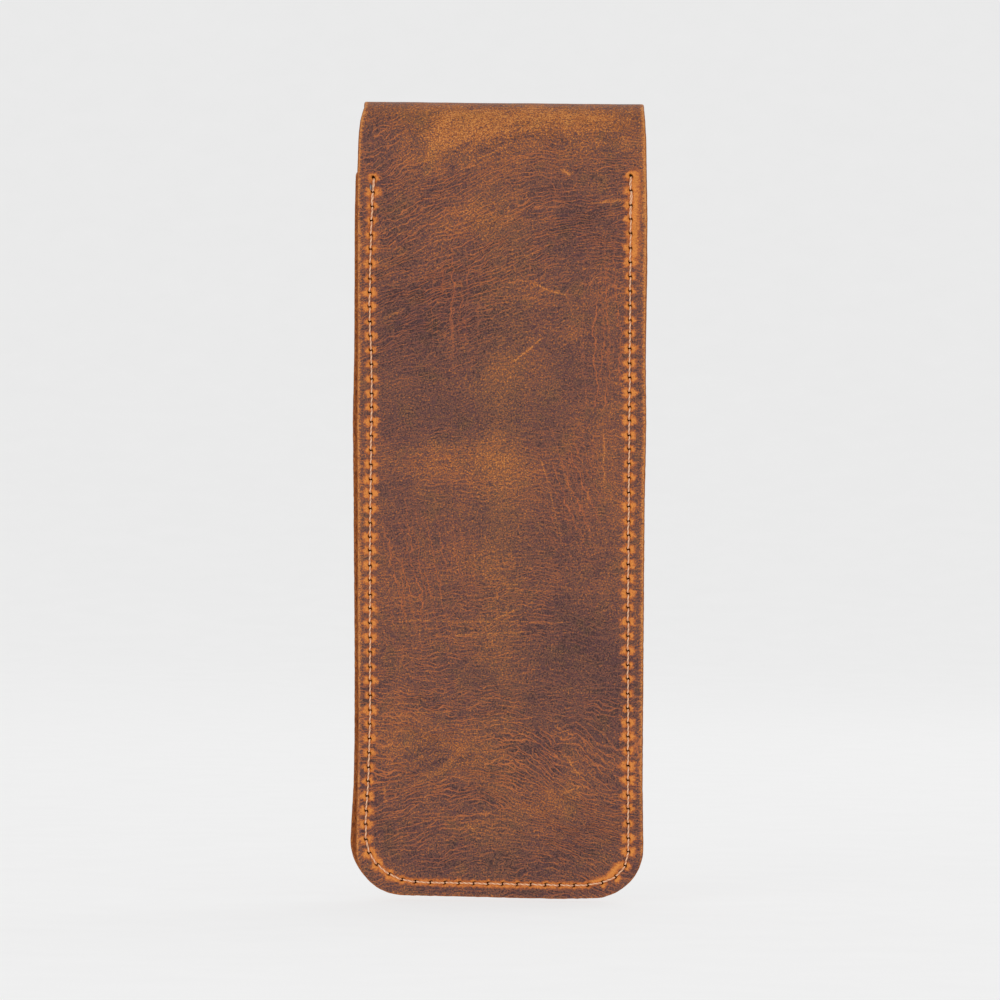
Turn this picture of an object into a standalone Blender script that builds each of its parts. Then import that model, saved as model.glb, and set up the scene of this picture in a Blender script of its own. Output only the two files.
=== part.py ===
"""Slim flap-top leather case: a sewn two-panel sleeve, a flap that folds over the front and a press stud.

Metres, +Z up. The back of the case faces -Y, the flap and its stud face +Y, and the bottom seam is at z = 0.
Run with: blender --background --python part.py
"""
from math import cos, hypot, pi, radians, sin

import bmesh
import bpy
from mathutils import Vector

MM = 0.001

# leather
HIDE = 1.8 * MM             # thickness of the hide
GAP = 0.3 * MM              # clearance between pieces that touch in the real case
HEIGHT = 168.0 * MM         # bottom seam to the top of the fold
BACK_HALF = 30.4 * MM       # half width of the back panel
FOLD_HALF = 29.7 * MM       # half width of the fold and the flap
CORNER_R = 11.2 * MM        # rounded bottom corners
FRONT_SHIFT = -0.8 * MM     # the front panel sits this far off the back panel
FRONT_TOP = 153.5 * MM      # height of the pocket's mouth
FLANGE = 4.8 * MM           # flat sewn border of the front panel
BULGE_RUN = 9.0 * MM        # width over which the moulded front rises
BULGE = 7.3 * MM            # how far the moulded front rises over its border

# fold and flap
FOLD_R = 8.5 * MM           # outer radius of the fold
FOLD_Z = HEIGHT - FOLD_R    # height of the fold's centre line
TAPER_Z = 150.0 * MM        # the back panel starts to narrow here
HINGES = (157.5, 112.5, 67.5, 22.5)      # where the fold bends, in degrees round its centre line
FLAP_END = 108.0 * MM       # lower edge of the flap
FLAP_R = 11.0 * MM          # rounded corners of the flap

# seam
THREAD_R = 0.25 * MM
GROOVE_HALF = 0.55 * MM
GROOVE_DEPTH = 0.85 * MM
SEAM_LEFT = -28.2 * MM
SEAM_RIGHT = 27.2 * MM
SEAM_LOW = 3.0 * MM
SEAM_TOP = 152.3 * MM
SEAM_R_LEFT = 9.5 * MM
SEAM_R_RIGHT = 6.6 * MM

# press stud, heights counted from the back panel's outer face
SNAP_Z = 120.0 * MM
SNAP_SIDES = 32
FLAP_IN = 2 * FOLD_R - HIDE
FLAP_OUT = 2 * FOLD_R
FRONT_IN = HIDE + GAP + BULGE
FRONT_OUT = FRONT_IN + HIDE
CAP_R = 6.25 * MM
CAP_RISE = 1.9 * MM
SHANK_R = 1.6 * MM
POST_R = 0.8 * MM

DEPTH = FLAP_OUT + GAP + CAP_RISE
X_SHIFT = -FRONT_SHIFT / 2  # centres the overall width on x = 0
Y_SHIFT = -DEPTH / 2        # centres the overall depth on y = 0

LEATHER = (0.19, 0.085, 0.055, 1.0)
LEATHER_FLAP = (0.20, 0.09, 0.055, 1.0)
LEATHER_FRONT = (0.18, 0.08, 0.05, 1.0)
THREAD = (0.62, 0.45, 0.36, 1.0)
BRASS = (0.45, 0.33, 0.17, 1.0)
STEEL = (0.55, 0.55, 0.56, 1.0)

for old in list(bpy.data.objects):
    bpy.data.objects.remove(old, do_unlink=True)

scene = bpy.context.scene
case = bpy.data.collections.new("leather_flap_case")
scene.collection.children.link(case)
cutters = bpy.data.collections.new("cutters")
scene.collection.children.link(cutters)
cutters.hide_render = True


def world(x, y, z):
    """Case measures to world: x from the back panel's middle, y from its outer face, z from the bottom seam."""
    return Vector((x + X_SHIFT, y + Y_SHIFT, z))


def material(name, colour, roughness, metallic=0.0):
    mat = bpy.data.materials.new(name)
    mat.use_nodes = True
    shader = mat.node_tree.nodes["Principled BSDF"]
    shader.inputs["Base Color"].default_value = colour
    shader.inputs["Roughness"].default_value = roughness
    shader.inputs["Metallic"].default_value = metallic
    mat.diffuse_color = colour
    return mat


def pivot(name, place, parent=None):
    """Empty on a joint axis, which carries the pieces that turn with it."""
    empty = bpy.data.objects.new(name, None)
    empty.empty_display_size = 0.005
    case.objects.link(empty)
    empty.parent = parent
    empty["place"] = list(place)
    empty.location = place - (Vector(parent["place"]) if parent else Vector())
    return empty


def add(name, verts, faces, mat=None, smooth=True, carrier=None, collection=case):
    """Closed mesh object from world points, its faces turned outwards."""
    origin = Vector(carrier["place"]) if carrier else Vector()
    mesh = bpy.data.meshes.new(name)
    mesh.from_pydata([tuple(Vector(v) - origin) for v in verts], [], faces)
    bm = bmesh.new()
    bm.from_mesh(mesh)
    bmesh.ops.recalc_face_normals(bm, faces=bm.faces)
    bm.to_mesh(mesh)
    bm.free()
    for face in mesh.polygons:
        face.use_smooth = smooth
    obj = bpy.data.objects.new(name, mesh)
    collection.objects.link(obj)
    if mat:
        mesh.materials.append(mat)
    obj.parent = carrier
    return obj


def rings_to_faces(count, size, caps=True):
    """Quads between successive closed rings of the same size, and a face over each end."""
    faces = []
    for i in range(count - 1):
        for j in range(size):
            k = (j + 1) % size
            faces.append((i * size + j, i * size + k, (i + 1) * size + k, (i + 1) * size + j))
    if caps:
        faces.append(tuple(range(size)))
        faces.append(tuple(range((count - 1) * size, count * size)))
    return faces


def half_width(z):
    """The back panel's half width, narrowing a little towards the fold."""
    if z <= TAPER_Z:
        return BACK_HALF
    share = (z - TAPER_Z) / (HEIGHT - TAPER_Z)
    return BACK_HALF + (FOLD_HALF - BACK_HALF) * share


def arc_row(angle):
    """Section of the fold at an angle round its centre line: (outer y, outer z, inner y, inner z, half width)."""
    c, s = cos(radians(angle)), sin(radians(angle))
    z = FOLD_Z + FOLD_R * s
    wide = half_width(z) if angle > 90 else FOLD_HALF
    return (FOLD_R + FOLD_R * c, z, FOLD_R + (FOLD_R - HIDE) * c, FOLD_Z + (FOLD_R - HIDE) * s, wide)


def arc_rows(start, stop, steps, trim_start=0.0, trim_stop=0.0):
    """Rows of the fold from start to stop degrees, each end drawn back by half a clearance when trimmed."""
    trim = GAP / 2 / (FOLD_R - HIDE / 2) * 180 / pi
    start -= trim * trim_start
    stop += trim * trim_stop
    return [arc_row(start + (stop - start) * i / steps) for i in range(steps + 1)]


def hide_piece(name, rows, mat, carrier=None):
    """Piece of hide swept through rows of (outer y, outer z, inner y, inner z, half width)."""
    verts = []
    for outer_y, outer_z, inner_y, inner_z, wide in rows:
        verts += [world(-wide, outer_y, outer_z), world(wide, outer_y, outer_z),
                  world(wide, inner_y, inner_z), world(-wide, inner_y, inner_z)]
    return add(name, verts, rings_to_faces(len(rows), 4), mat, smooth=False, carrier=carrier)


def rounded_rows(edge_z, upward, radius, half, outer_y, inner_y, steps=10):
    """Rows of a rounded end at edge_z, running upward (+1) or downward (-1) from it."""
    rows = []
    for i in range(steps + 1):
        turn = pi / 2 * i / steps
        z = edge_z + upward * radius * (1 - cos(turn))
        rows.append((outer_y, z, inner_y, z, half - radius + radius * sin(turn)))
    return rows


def seam_path(extra=0.0, corner_steps=8):
    """Points (x, z) of the seam: down the left side, along the bottom and up the right side."""
    points = [(SEAM_LEFT, SEAM_TOP + extra), (SEAM_LEFT, 80 * MM)]
    for i in range(corner_steps + 1):
        turn = pi + pi / 2 * i / corner_steps
        points.append((SEAM_LEFT + SEAM_R_LEFT + SEAM_R_LEFT * cos(turn),
                       SEAM_LOW + SEAM_R_LEFT + SEAM_R_LEFT * sin(turn)))
    for i in range(corner_steps + 1):
        turn = 1.5 * pi + pi / 2 * i / corner_steps
        points.append((SEAM_RIGHT - SEAM_R_RIGHT + SEAM_R_RIGHT * cos(turn),
                       SEAM_LOW + SEAM_R_RIGHT + SEAM_R_RIGHT * sin(turn)))
    points += [(SEAM_RIGHT, 80 * MM), (SEAM_RIGHT, SEAM_TOP + extra)]
    return points


def path_sides(points):
    """Unit vectors across a path in the x, z plane, one for each point."""
    sides = []
    for i, _ in enumerate(points):
        a, b = points[max(i - 1, 0)], points[min(i + 1, len(points) - 1)]
        dx, dz = b[0] - a[0], b[1] - a[1]
        length = hypot(dx, dz)
        sides.append((-dz / length, dx / length))
    return sides


def seam_thread(name, depth, mat, sides=8):
    """Thread laid in its groove: a round rod along the seam with its axis at this depth."""
    points = seam_path()
    verts = []
    for (x, z), (nx, nz) in zip(points, path_sides(points)):
        for j in range(sides):
            turn = 2 * pi * j / sides
            off = THREAD_R * cos(turn)
            verts.append(world(x + nx * off, depth + THREAD_R * sin(turn), z + nz * off))
    return add(name, verts, rings_to_faces(len(points), sides), mat)


def cutter(name, verts, faces):
    obj = add(name, verts, faces, smooth=False, collection=cutters)
    obj.hide_render = True
    obj.display_type = "WIRE"
    return obj


def groove_cutter(name, shallow, deep):
    """Rectangular groove along the seam between two depths."""
    points = seam_path(extra=GAP)
    verts = []
    for (x, z), (nx, nz) in zip(points, path_sides(points)):
        for side, depth in ((-1, shallow), (1, shallow), (1, deep), (-1, deep)):
            off = side * GROOVE_HALF
            verts.append(world(x + nx * off, depth, z + nz * off))
    return cutter(name, verts, rings_to_faces(len(points), 4))


def hole_cutter(name, radius, low, high, sides=SNAP_SIDES):
    """Round hole through a panel along Y, on the press stud's axis."""
    verts = []
    for depth in (low, high):
        for j in range(sides):
            turn = 2 * pi * j / sides
            verts.append(world(radius * cos(turn), depth, SNAP_Z + radius * sin(turn)))
    return cutter(name, verts, rings_to_faces(2, sides))


def cut(obj, tool):
    step = obj.modifiers.new("cut_" + tool.name, "BOOLEAN")
    step.operation = "DIFFERENCE"
    step.solver = "EXACT"
    step.object = tool


def turned(name, profile, mat, carrier=None, sides=SNAP_SIDES):
    """Piece turned about the press stud's axis from a closed profile of (radius, depth) points."""
    verts, rows = [], []
    for radius, depth in profile:
        if radius == 0:
            rows.append([len(verts)] * sides)
            verts.append(world(0, depth, SNAP_Z))
            continue
        rows.append(list(range(len(verts), len(verts) + sides)))
        for j in range(sides):
            turn = 2 * pi * j / sides
            verts.append(world(radius * cos(turn), depth, SNAP_Z + radius * sin(turn)))
    on_axis = profile[0][0] == 0
    pairs = list(zip(rows, rows[1:])) + ([] if on_axis else [(rows[-1], rows[0])])
    faces = []
    for low, high in pairs:
        for j in range(sides):
            k = (j + 1) % sides
            corners = [low[j], low[k], high[k], high[j]]
            faces.append(tuple(dict.fromkeys(corners)))
    return add(name, verts, faces, mat, carrier=carrier)


def edge_distance(x, z):
    """How far a point of the front panel lies inside its sewn outline."""
    x = abs(x)
    if x > BACK_HALF - CORNER_R and z < CORNER_R:
        return CORNER_R - hypot(x - (BACK_HALF - CORNER_R), CORNER_R - z)
    return min(BACK_HALF - x, z)


def front_depth(x, z):
    """Inner face of the moulded front: a flat sewn border that rises to a flat-topped bulge."""
    share = min(max((edge_distance(x, z) - FLANGE) / BULGE_RUN, 0.0), 1.0)
    return HIDE + GAP + BULGE * share * share * (3 - 2 * share)


def front_panel(mat):
    insets = [0, 2.2, 4.8, 5.7, 6.6, 7.6, 8.7, 9.8, 11.0, 12.2, 13.8, 19.0, 25.0]
    left = [-BACK_HALF + d * MM for d in insets]
    columns = left + [0.0] + [-x for x in reversed(left)]
    corner = 12
    levels = [(CORNER_R * (1 - cos(pi / 2 * i / corner)), sin(pi / 2 * i / corner)) for i in range(corner + 1)]
    straight = [12.2, 13.0, 13.9, 25, 45, 65, 85, 105, 113, 127, 140]
    levels += [(z * MM, 1.0) for z in straight] + [(FRONT_TOP, 1.0)]
    inner, outer = [], []
    step = 0.05 * MM
    for z, lean in levels:
        wide = BACK_HALF - CORNER_R + CORNER_R * lean
        for x in columns:
            x = x * wide / BACK_HALF
            depth = front_depth(x, z)
            slope_x = (front_depth(x + step, z) - front_depth(x - step, z)) / (2 * step)
            slope_z = (front_depth(x, z + step) - front_depth(x, z - step)) / (2 * step)
            if z < FLANGE or z == FRONT_TOP:
                slope_z = 0.0
            normal = Vector((-slope_x, 1.0, -slope_z)).normalized() * HIDE
            inner.append(world(x + FRONT_SHIFT, depth, z))
            outer.append(world(x + FRONT_SHIFT, depth, z) + normal)
    wide, high = len(columns), len(levels)
    skip = len(inner)
    faces = []
    for i in range(high - 1):
        for j in range(wide - 1):
            a, b, c, d = i * wide + j, i * wide + j + 1, (i + 1) * wide + j + 1, (i + 1) * wide + j
            faces += [(a, b, c, d), (a + skip, d + skip, c + skip, b + skip)]
    rim = [j for j in range(wide)]
    rim += [i * wide + wide - 1 for i in range(1, high)]
    rim += [(high - 1) * wide + j for j in range(wide - 2, -1, -1)]
    rim += [i * wide for i in range(high - 2, 0, -1)]
    for a, b in zip(rim, rim[1:] + rim[:1]):
        faces.append((a, b, b + skip, a + skip))
    return add("front_panel", inner + outer, faces, mat, smooth=False)


def spring_ring(mat, carrier, sides=8, steps=36):
    """Split wire ring in the socket that grips the stud's head."""
    radius, wire, middle = 2.4 * MM, 0.2 * MM, FLAP_IN - 1.9 * MM
    verts = []
    for i in range(steps + 1):
        turn = radians(20) + radians(320) * i / steps
        for j in range(sides):
            roll = 2 * pi * j / sides
            r = radius + wire * cos(roll)
            verts.append(world(r * cos(turn), middle + wire * sin(roll), SNAP_Z + r * sin(turn)))
    return add("snap_spring_ring", verts, rings_to_faces(steps + 1, sides), mat, carrier=carrier)


# joint axes, on the fold's outer surface
places = [world(0, FOLD_R + FOLD_R * cos(radians(a)), FOLD_Z + FOLD_R * sin(radians(a))) for a in HINGES]
fold_pivots = []
for count, place in enumerate(places[:-1], 1):
    fold_pivots.append(pivot(f"fold_{count}_pivot", place, fold_pivots[-1] if fold_pivots else None))
flap_pivot = pivot("flap_pivot", places[-1], fold_pivots[-1])

hide = material("hide_back", LEATHER, 0.55)
hide_fold = material("hide_fold", LEATHER, 0.55)
hide_flap = material("hide_flap", LEATHER_FLAP, 0.55)
hide_front = material("hide_front", LEATHER_FRONT, 0.58)
thread = material("thread", THREAD, 0.7)
brass = material("aged_brass", BRASS, 0.35, 1.0)
steel = material("spring_steel", STEEL, 0.3, 1.0)

# back panel: rounded bottom, straight sides, and the first part of the fold
rows = rounded_rows(0.0, 1, CORNER_R, BACK_HALF, 0.0, HIDE)
rows.append((0.0, TAPER_Z, HIDE, TAPER_Z, half_width(TAPER_Z)))
rows += arc_rows(180, HINGES[0], 3, trim_stop=1)
back = hide_piece("back_panel", rows, hide)
cut(back, groove_cutter("back_groove", -0.4 * MM, GROOVE_DEPTH))

# the rest of the fold: three strips, each hinged to the next
for count, (start, stop, carrier) in enumerate(zip(HINGES[:-1], HINGES[1:], fold_pivots), 1):
    hide_piece(f"fold_strip_{count}", arc_rows(start, stop, 6, 1, 1), hide_fold, carrier)

# flap: the last part of the fold, then straight down to rounded corners
rows = arc_rows(HINGES[-1], 0, 3, trim_start=1)
rows += list(reversed(rounded_rows(FLAP_END, 1, FLAP_R, FOLD_HALF, FLAP_OUT, FLAP_IN)))
flap = hide_piece("flap_panel", rows, hide_flap, flap_pivot)
cut(flap, hole_cutter("flap_hole", SHANK_R + GAP, FLAP_IN - 1 * MM, FLAP_OUT + 1 * MM))

# moulded front with its seam groove and the stud's hole
front = front_panel(hide_front)
flange_out = 2 * HIDE + GAP
cut(front, groove_cutter("front_groove", flange_out - GROOVE_DEPTH, flange_out + 0.4 * MM))
cut(front, hole_cutter("front_hole", POST_R + GAP, FRONT_IN - 1 * MM, FRONT_OUT + 1 * MM))

# the two threads of the lockstitched seam
sunk = THREAD_R + 0.05 * MM
seam_thread("thread_back", sunk, thread)
seam_thread("thread_front", flange_out - sunk, thread)

# press stud: domed cap and socket on the flap, stud and post on the front
rim = FLAP_OUT + GAP
turned("snap_cap", [
    (0, DEPTH), (2.2 * MM, DEPTH - 0.10 * MM), (4.0 * MM, DEPTH - 0.42 * MM), (5.3 * MM, DEPTH - 0.86 * MM),
    (6.0 * MM, DEPTH - 1.28 * MM), (CAP_R, rim + 0.25 * MM), (6.05 * MM, rim), (SHANK_R, rim),
    (SHANK_R, FLAP_IN - 0.55 * MM), (1.4 * MM, FLAP_IN - 0.70 * MM), (0, FLAP_IN - 0.70 * MM)],
    brass, flap_pivot)
turned("snap_socket", [
    (1.9 * MM, FLAP_IN - GAP), (5.1 * MM, FLAP_IN - GAP), (5.2 * MM, FLAP_IN - 0.45 * MM),
    (5.1 * MM, FLAP_IN - 0.8 * MM), (4.5 * MM, FLAP_IN - 0.9 * MM), (4.2 * MM, FLAP_IN - 1.3 * MM),
    (4.1 * MM, FLAP_IN - 2.6 * MM), (3.8 * MM, FLAP_IN - 2.9 * MM), (2.5 * MM, FLAP_IN - 2.9 * MM),
    (2.3 * MM, FLAP_IN - 2.7 * MM), (2.3 * MM, FLAP_IN - 2.4 * MM), (2.95 * MM, FLAP_IN - 2.4 * MM),
    (2.95 * MM, FLAP_IN - 1.4 * MM), (2.3 * MM, FLAP_IN - 1.4 * MM), (2.3 * MM, FLAP_IN - 0.9 * MM),
    (1.9 * MM, FLAP_IN - 0.9 * MM)], brass, flap_pivot)
spring_ring(steel, flap_pivot)
foot = FRONT_OUT + GAP
turned("snap_stud", [
    (0, foot + 2.7 * MM), (0.9 * MM, foot + 2.65 * MM), (1.5 * MM, foot + 2.45 * MM),
    (1.8 * MM, foot + 2.1 * MM), (1.8 * MM, foot + 1.8 * MM), (1.5 * MM, foot + 1.4 * MM),
    (1.5 * MM, foot + 0.8 * MM), (2.0 * MM, foot + 0.5 * MM), (3.9 * MM, foot + 0.45 * MM),
    (4.1 * MM, foot + 0.2 * MM), (3.9 * MM, foot), (1.1 * MM, foot),
    (1.1 * MM, foot + 1.9 * MM), (0, foot + 1.9 * MM)], brass)
base = FRONT_IN - GAP
turned("snap_post", [
    (0, base - 0.55 * MM), (3.6 * MM, base - 0.5 * MM), (4.3 * MM, base - 0.3 * MM), (4.4 * MM, base - 0.1 * MM),
    (4.3 * MM, base), (POST_R, base), (POST_R, foot + 1.5 * MM), (0.6 * MM, foot + 1.6 * MM),
    (0, foot + 1.6 * MM)], brass)
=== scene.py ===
import math

import bmesh
import bpy
import numpy as np
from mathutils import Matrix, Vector
from mathutils.geometry import delaunay_2d_cdt


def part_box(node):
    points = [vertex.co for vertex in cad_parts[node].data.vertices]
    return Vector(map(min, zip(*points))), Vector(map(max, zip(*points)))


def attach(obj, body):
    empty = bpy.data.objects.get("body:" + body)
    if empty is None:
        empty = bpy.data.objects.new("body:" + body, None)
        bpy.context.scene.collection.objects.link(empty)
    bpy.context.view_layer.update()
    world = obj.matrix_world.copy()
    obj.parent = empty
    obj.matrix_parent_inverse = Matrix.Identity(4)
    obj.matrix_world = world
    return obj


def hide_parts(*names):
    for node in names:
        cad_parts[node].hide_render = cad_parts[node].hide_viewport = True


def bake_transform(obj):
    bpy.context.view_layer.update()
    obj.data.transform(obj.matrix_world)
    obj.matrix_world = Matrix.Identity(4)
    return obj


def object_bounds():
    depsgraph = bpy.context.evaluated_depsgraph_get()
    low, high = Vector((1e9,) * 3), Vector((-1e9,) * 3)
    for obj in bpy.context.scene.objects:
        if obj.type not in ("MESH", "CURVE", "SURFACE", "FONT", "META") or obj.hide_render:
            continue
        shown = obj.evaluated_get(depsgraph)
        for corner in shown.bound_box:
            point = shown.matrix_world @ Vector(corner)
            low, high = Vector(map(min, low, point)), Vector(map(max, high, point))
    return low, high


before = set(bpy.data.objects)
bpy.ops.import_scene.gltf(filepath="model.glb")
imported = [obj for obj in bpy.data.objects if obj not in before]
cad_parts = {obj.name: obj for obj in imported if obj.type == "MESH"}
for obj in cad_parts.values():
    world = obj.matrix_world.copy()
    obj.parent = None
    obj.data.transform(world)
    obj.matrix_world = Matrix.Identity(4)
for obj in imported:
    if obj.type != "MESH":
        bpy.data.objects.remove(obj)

CAD_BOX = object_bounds()
MM = 0.001

# ---------------------------------------------------------------- frame sizes
back_lo, back_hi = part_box("back_panel")
flap_lo, flap_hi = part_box("flap_panel")
cap_lo, cap_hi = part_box("snap_cap")
MID_X = (back_lo.x + back_hi.x) / 2            # metres
BACK_Y = back_lo.y                             # metres
SNAP_X = (cap_lo.x + cap_hi.x) / 2             # metres
SNAP_Z = (cap_lo.z + cap_hi.z) / 2 / MM
MOUTH_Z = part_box("front_panel")[1].z / MM
FOLD_R = (flap_hi.y - back_lo.y) / 2 / MM      # outer radius of the fold
FOLD_Z = round(CAD_BOX[1].z / MM, 3) - FOLD_R  # height of the fold's centre
ARC = math.pi * FOLD_R
SPLITS = [FOLD_Z + ARC * k / 4 for k in (1, 2, 3)]      # the hide is cut every 45 degrees of the fold
S_END = FOLD_Z + ARC + (FOLD_Z - flap_lo.z / MM)        # the flap's free edge
HIDE = 1.8                                     # thickness
GAP = 0.3                                      # between the two hides in the CAD
FLANGE = 4.8                                   # the front's flat sewn border
BULGE_RUN, BULGE = 9.0, 7.3                    # how far and how high the front rises inside it
BASE_HALF = 30.0                               # half width of the flat frame before the sides are fitted
BEYOND = 33                                    # half width that is wider than any hide


# ---------------------------------------------------------------- numeric helpers
LATTICE = np.random.default_rng(20260).random((8, 128, 128))


def fade(t):
    return t * t * (3 - 2 * t)


def ramp01(x, lo, hi):
    return fade(np.clip((x - lo) / (hi - lo), 0, 1))


def noise2(x, y, cell, seed):
    """Smooth value noise in 0..1 with cells of this size in mm."""
    table = LATTICE[seed % 8]
    u, v = x / cell + 17.3 * seed, y / cell + 9.1 * seed
    i, j = np.floor(u).astype(int), np.floor(v).astype(int)
    fu, fv = fade(u - i), fade(v - j)
    a, b = table[i % 128, j % 128], table[(i + 1) % 128, j % 128]
    c, d = table[i % 128, (j + 1) % 128], table[(i + 1) % 128, (j + 1) % 128]
    return (a * (1 - fu) + b * fu) * (1 - fv) + (c * (1 - fu) + d * fu) * fv


def fbm(x, y, cell, seed):
    """Four octaves of value noise, in 0..1."""
    octaves = [noise2(x, y, cell / 2 ** k, seed + k) / 2 ** k for k in range(4)]
    return sum(octaves) / sum(1 / 2 ** k for k in range(4))


def waves(x, s, *layers):
    """Sum of noise that swings about zero: (height, cell size, seed) for each layer."""
    return sum(height * (fbm(x, s, cell, seed) - 0.5) for height, cell, seed in layers)


def blobs(x, s, table):
    """Sum of soft oval patches: (x, s, half width, half height, amount)."""
    total = np.zeros_like(x)
    for cx, cs, rx, rs, amount in table:
        total = total + amount * np.exp(-((x - cx) / rx) ** 2 - ((s - cs) / rs) ** 2)
    return total


def grid_lookup(x, s, xs, rows):
    """Smooth lookup in a small table of values: rows is [(s, values at xs), ...] with s rising."""
    ss = np.array([r[0] for r in rows], float)
    values = np.array([r[1] for r in rows], float)
    per_row = np.array([np.interp(x, xs, v) for v in values])
    k = np.clip(np.searchsorted(ss, s) - 1, 0, len(ss) - 2)
    t = fade(np.clip((s - ss[k]) / (ss[k + 1] - ss[k]), 0, 1))
    index = np.arange(len(x))
    return per_row[k, index] * (1 - t) + per_row[k + 1, index] * t


def polyline_distance(x, s, line):
    """Distance of each point from a polyline."""
    best = np.full(len(x), 1e9)
    for (ax, ay), (bx, by) in zip(line[:-1], line[1:]):
        dx, dy = bx - ax, by - ay
        t = np.clip(((x - ax) * dx + (s - ay) * dy) / (dx * dx + dy * dy + 1e-12), 0, 1)
        best = np.minimum(best, np.hypot(x - ax - t * dx, s - ay - t * dy))
    return best


def run_along(line):
    """Distance along a polyline at each of its points."""
    return np.concatenate([[0], np.cumsum(np.hypot(*np.diff(line, axis=0).T))])


def at_runs(line, at):
    """The points of a polyline at these distances along it."""
    run = run_along(line)
    return np.column_stack([np.interp(at, run, line[:, 0]), np.interp(at, run, line[:, 1])])


def smooth_line(points, step, passes):
    """Control points joined by a softened polyline with even steps."""
    line = np.asarray(points, float)
    length = run_along(line)[-1]
    line = at_runs(line, np.linspace(0, length, max(2, int(round(length / step)) + 1)))
    for _ in range(passes):
        line[1:-1] = (line[:-2] + 2 * line[1:-1] + line[2:]) / 4
    return line


# ---------------------------------------------------------------- the hide's outline
# Hand-trimmed sides: height and x of each piece's left and right edges
HIDE_SIDES = (
    [(0, -29.9), (11, -29.9), (22, -29.75), (35, -29.6), (50, -29.85), (84, -30.2), (100, -30.45), (117, -30.4),
     (143, -30.7), (152, -30.75), (160, -30.55), (164, -30.25), (168.4, -29.5), (178, -29.6), (200, -29.7),
     (240, -29.7)],
    [(0, 30.6), (12, 30.6), (24, 30.35), (50, 30.3), (84, 30.3), (100, 30.5), (117, 30.25), (143, 30.4),
     (152, 30.2), (160, 30.0), (168.4, 29.6), (178, 29.6), (200, 29.7), (240, 29.7)])
FRONT_SIDES = (
    [(0, -31.0), (12, -31.05), (16, -30.9), (24, -30.5), (33, -30.4), (50, -30.5), (84, -31.0), (100, -31.3),
     (117, -31.1), (143, -31.25), (154, -31.1)],
    [(0, 30.1), (12, 30.2), (50, 29.9), (84, 30.0), (100, 30.35), (117, 30.35), (135, 30.5), (143, 30.3),
     (154, 30.0)])
BOTTOM_LIFT = [(-30, 0.8), (-20, 0.7), (0, 0.4), (12, 0.2), (21, 0.4), (30, 0.7)]
LIFT_FADE = 25                                 # height at which the lift of the bottom edge has faded out
# (left, right) corner radii
BACK_CORNERS, FRONT_CORNERS = (10.0, 10.4), (11.8, 11.8)
FLAP_CORNERS, MOUTH_CORNERS = (11.0, 11.0), (1.6, 1.6)

# The seam's line on the back, from the first stitch on the left to the last on the right
SEAM = [(-27.3, 151.6), (-27.65, 142.9), (-27.8, 136.6), (-27.95, 124.3), (-27.3, 109.5), (-27.4, 85.6),
        (-27.45, 75.5), (-27.1, 41.3), (-27.2, 32.2), (-27.45, 23.3), (-27.6, 20.4), (-27.8, 17.4), (-27.9, 14.5),
        (-27.8, 11.4), (-26.6, 8.4), (-24.5, 6.2), (-21.8, 4.5), (-19.5, 3.75), (-16.4, 3.5), (0.0, 3.3),
        (18.0, 3.05), (21.0, 3.4), (24.3, 4.4), (26.8, 6.7), (27.6, 10.0), (27.4, 13.0), (27.1, 41.9),
        (26.95, 65.1), (26.9, 105.3), (26.85, 134.0), (26.85, 152.4)]
PITCH = 3.02
SEAM_LINE = smooth_line(SEAM, 0.5, 12)
SEAM_COARSE = smooth_line(SEAM, 1.5, 4)
SEAM_END = 156                                 # height above which there is no seam


def side_lines(s, sides):
    """x of the trimmed left and right edges at each height."""
    return [np.interp(s, *zip(*side)) for side in sides]


def bottom_lift(a, s):
    """How far the trimmed bottom edge lifts each point."""
    return np.interp(a, *zip(*BOTTOM_LIFT)) * np.clip(1 - s / LIFT_FADE, 0, 1)


def fit_sides(a, s, sides):
    """From the even frame (a in -30..30) to the trimmed shape."""
    lo, hi = side_lines(s, sides)
    return lo + (a + BASE_HALF) / (2 * BASE_HALF) * (hi - lo), s + bottom_lift(a, s)


def unfit(x, s, sides):
    """The even frame's place of each point of the trimmed shape."""
    base = s.copy()
    for _ in range(4):
        lo, hi = side_lines(base, sides)
        a = (x - lo) / (hi - lo) * 2 * BASE_HALF - BASE_HALF
        base = s - bottom_lift(a, base)
    return a, base


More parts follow.
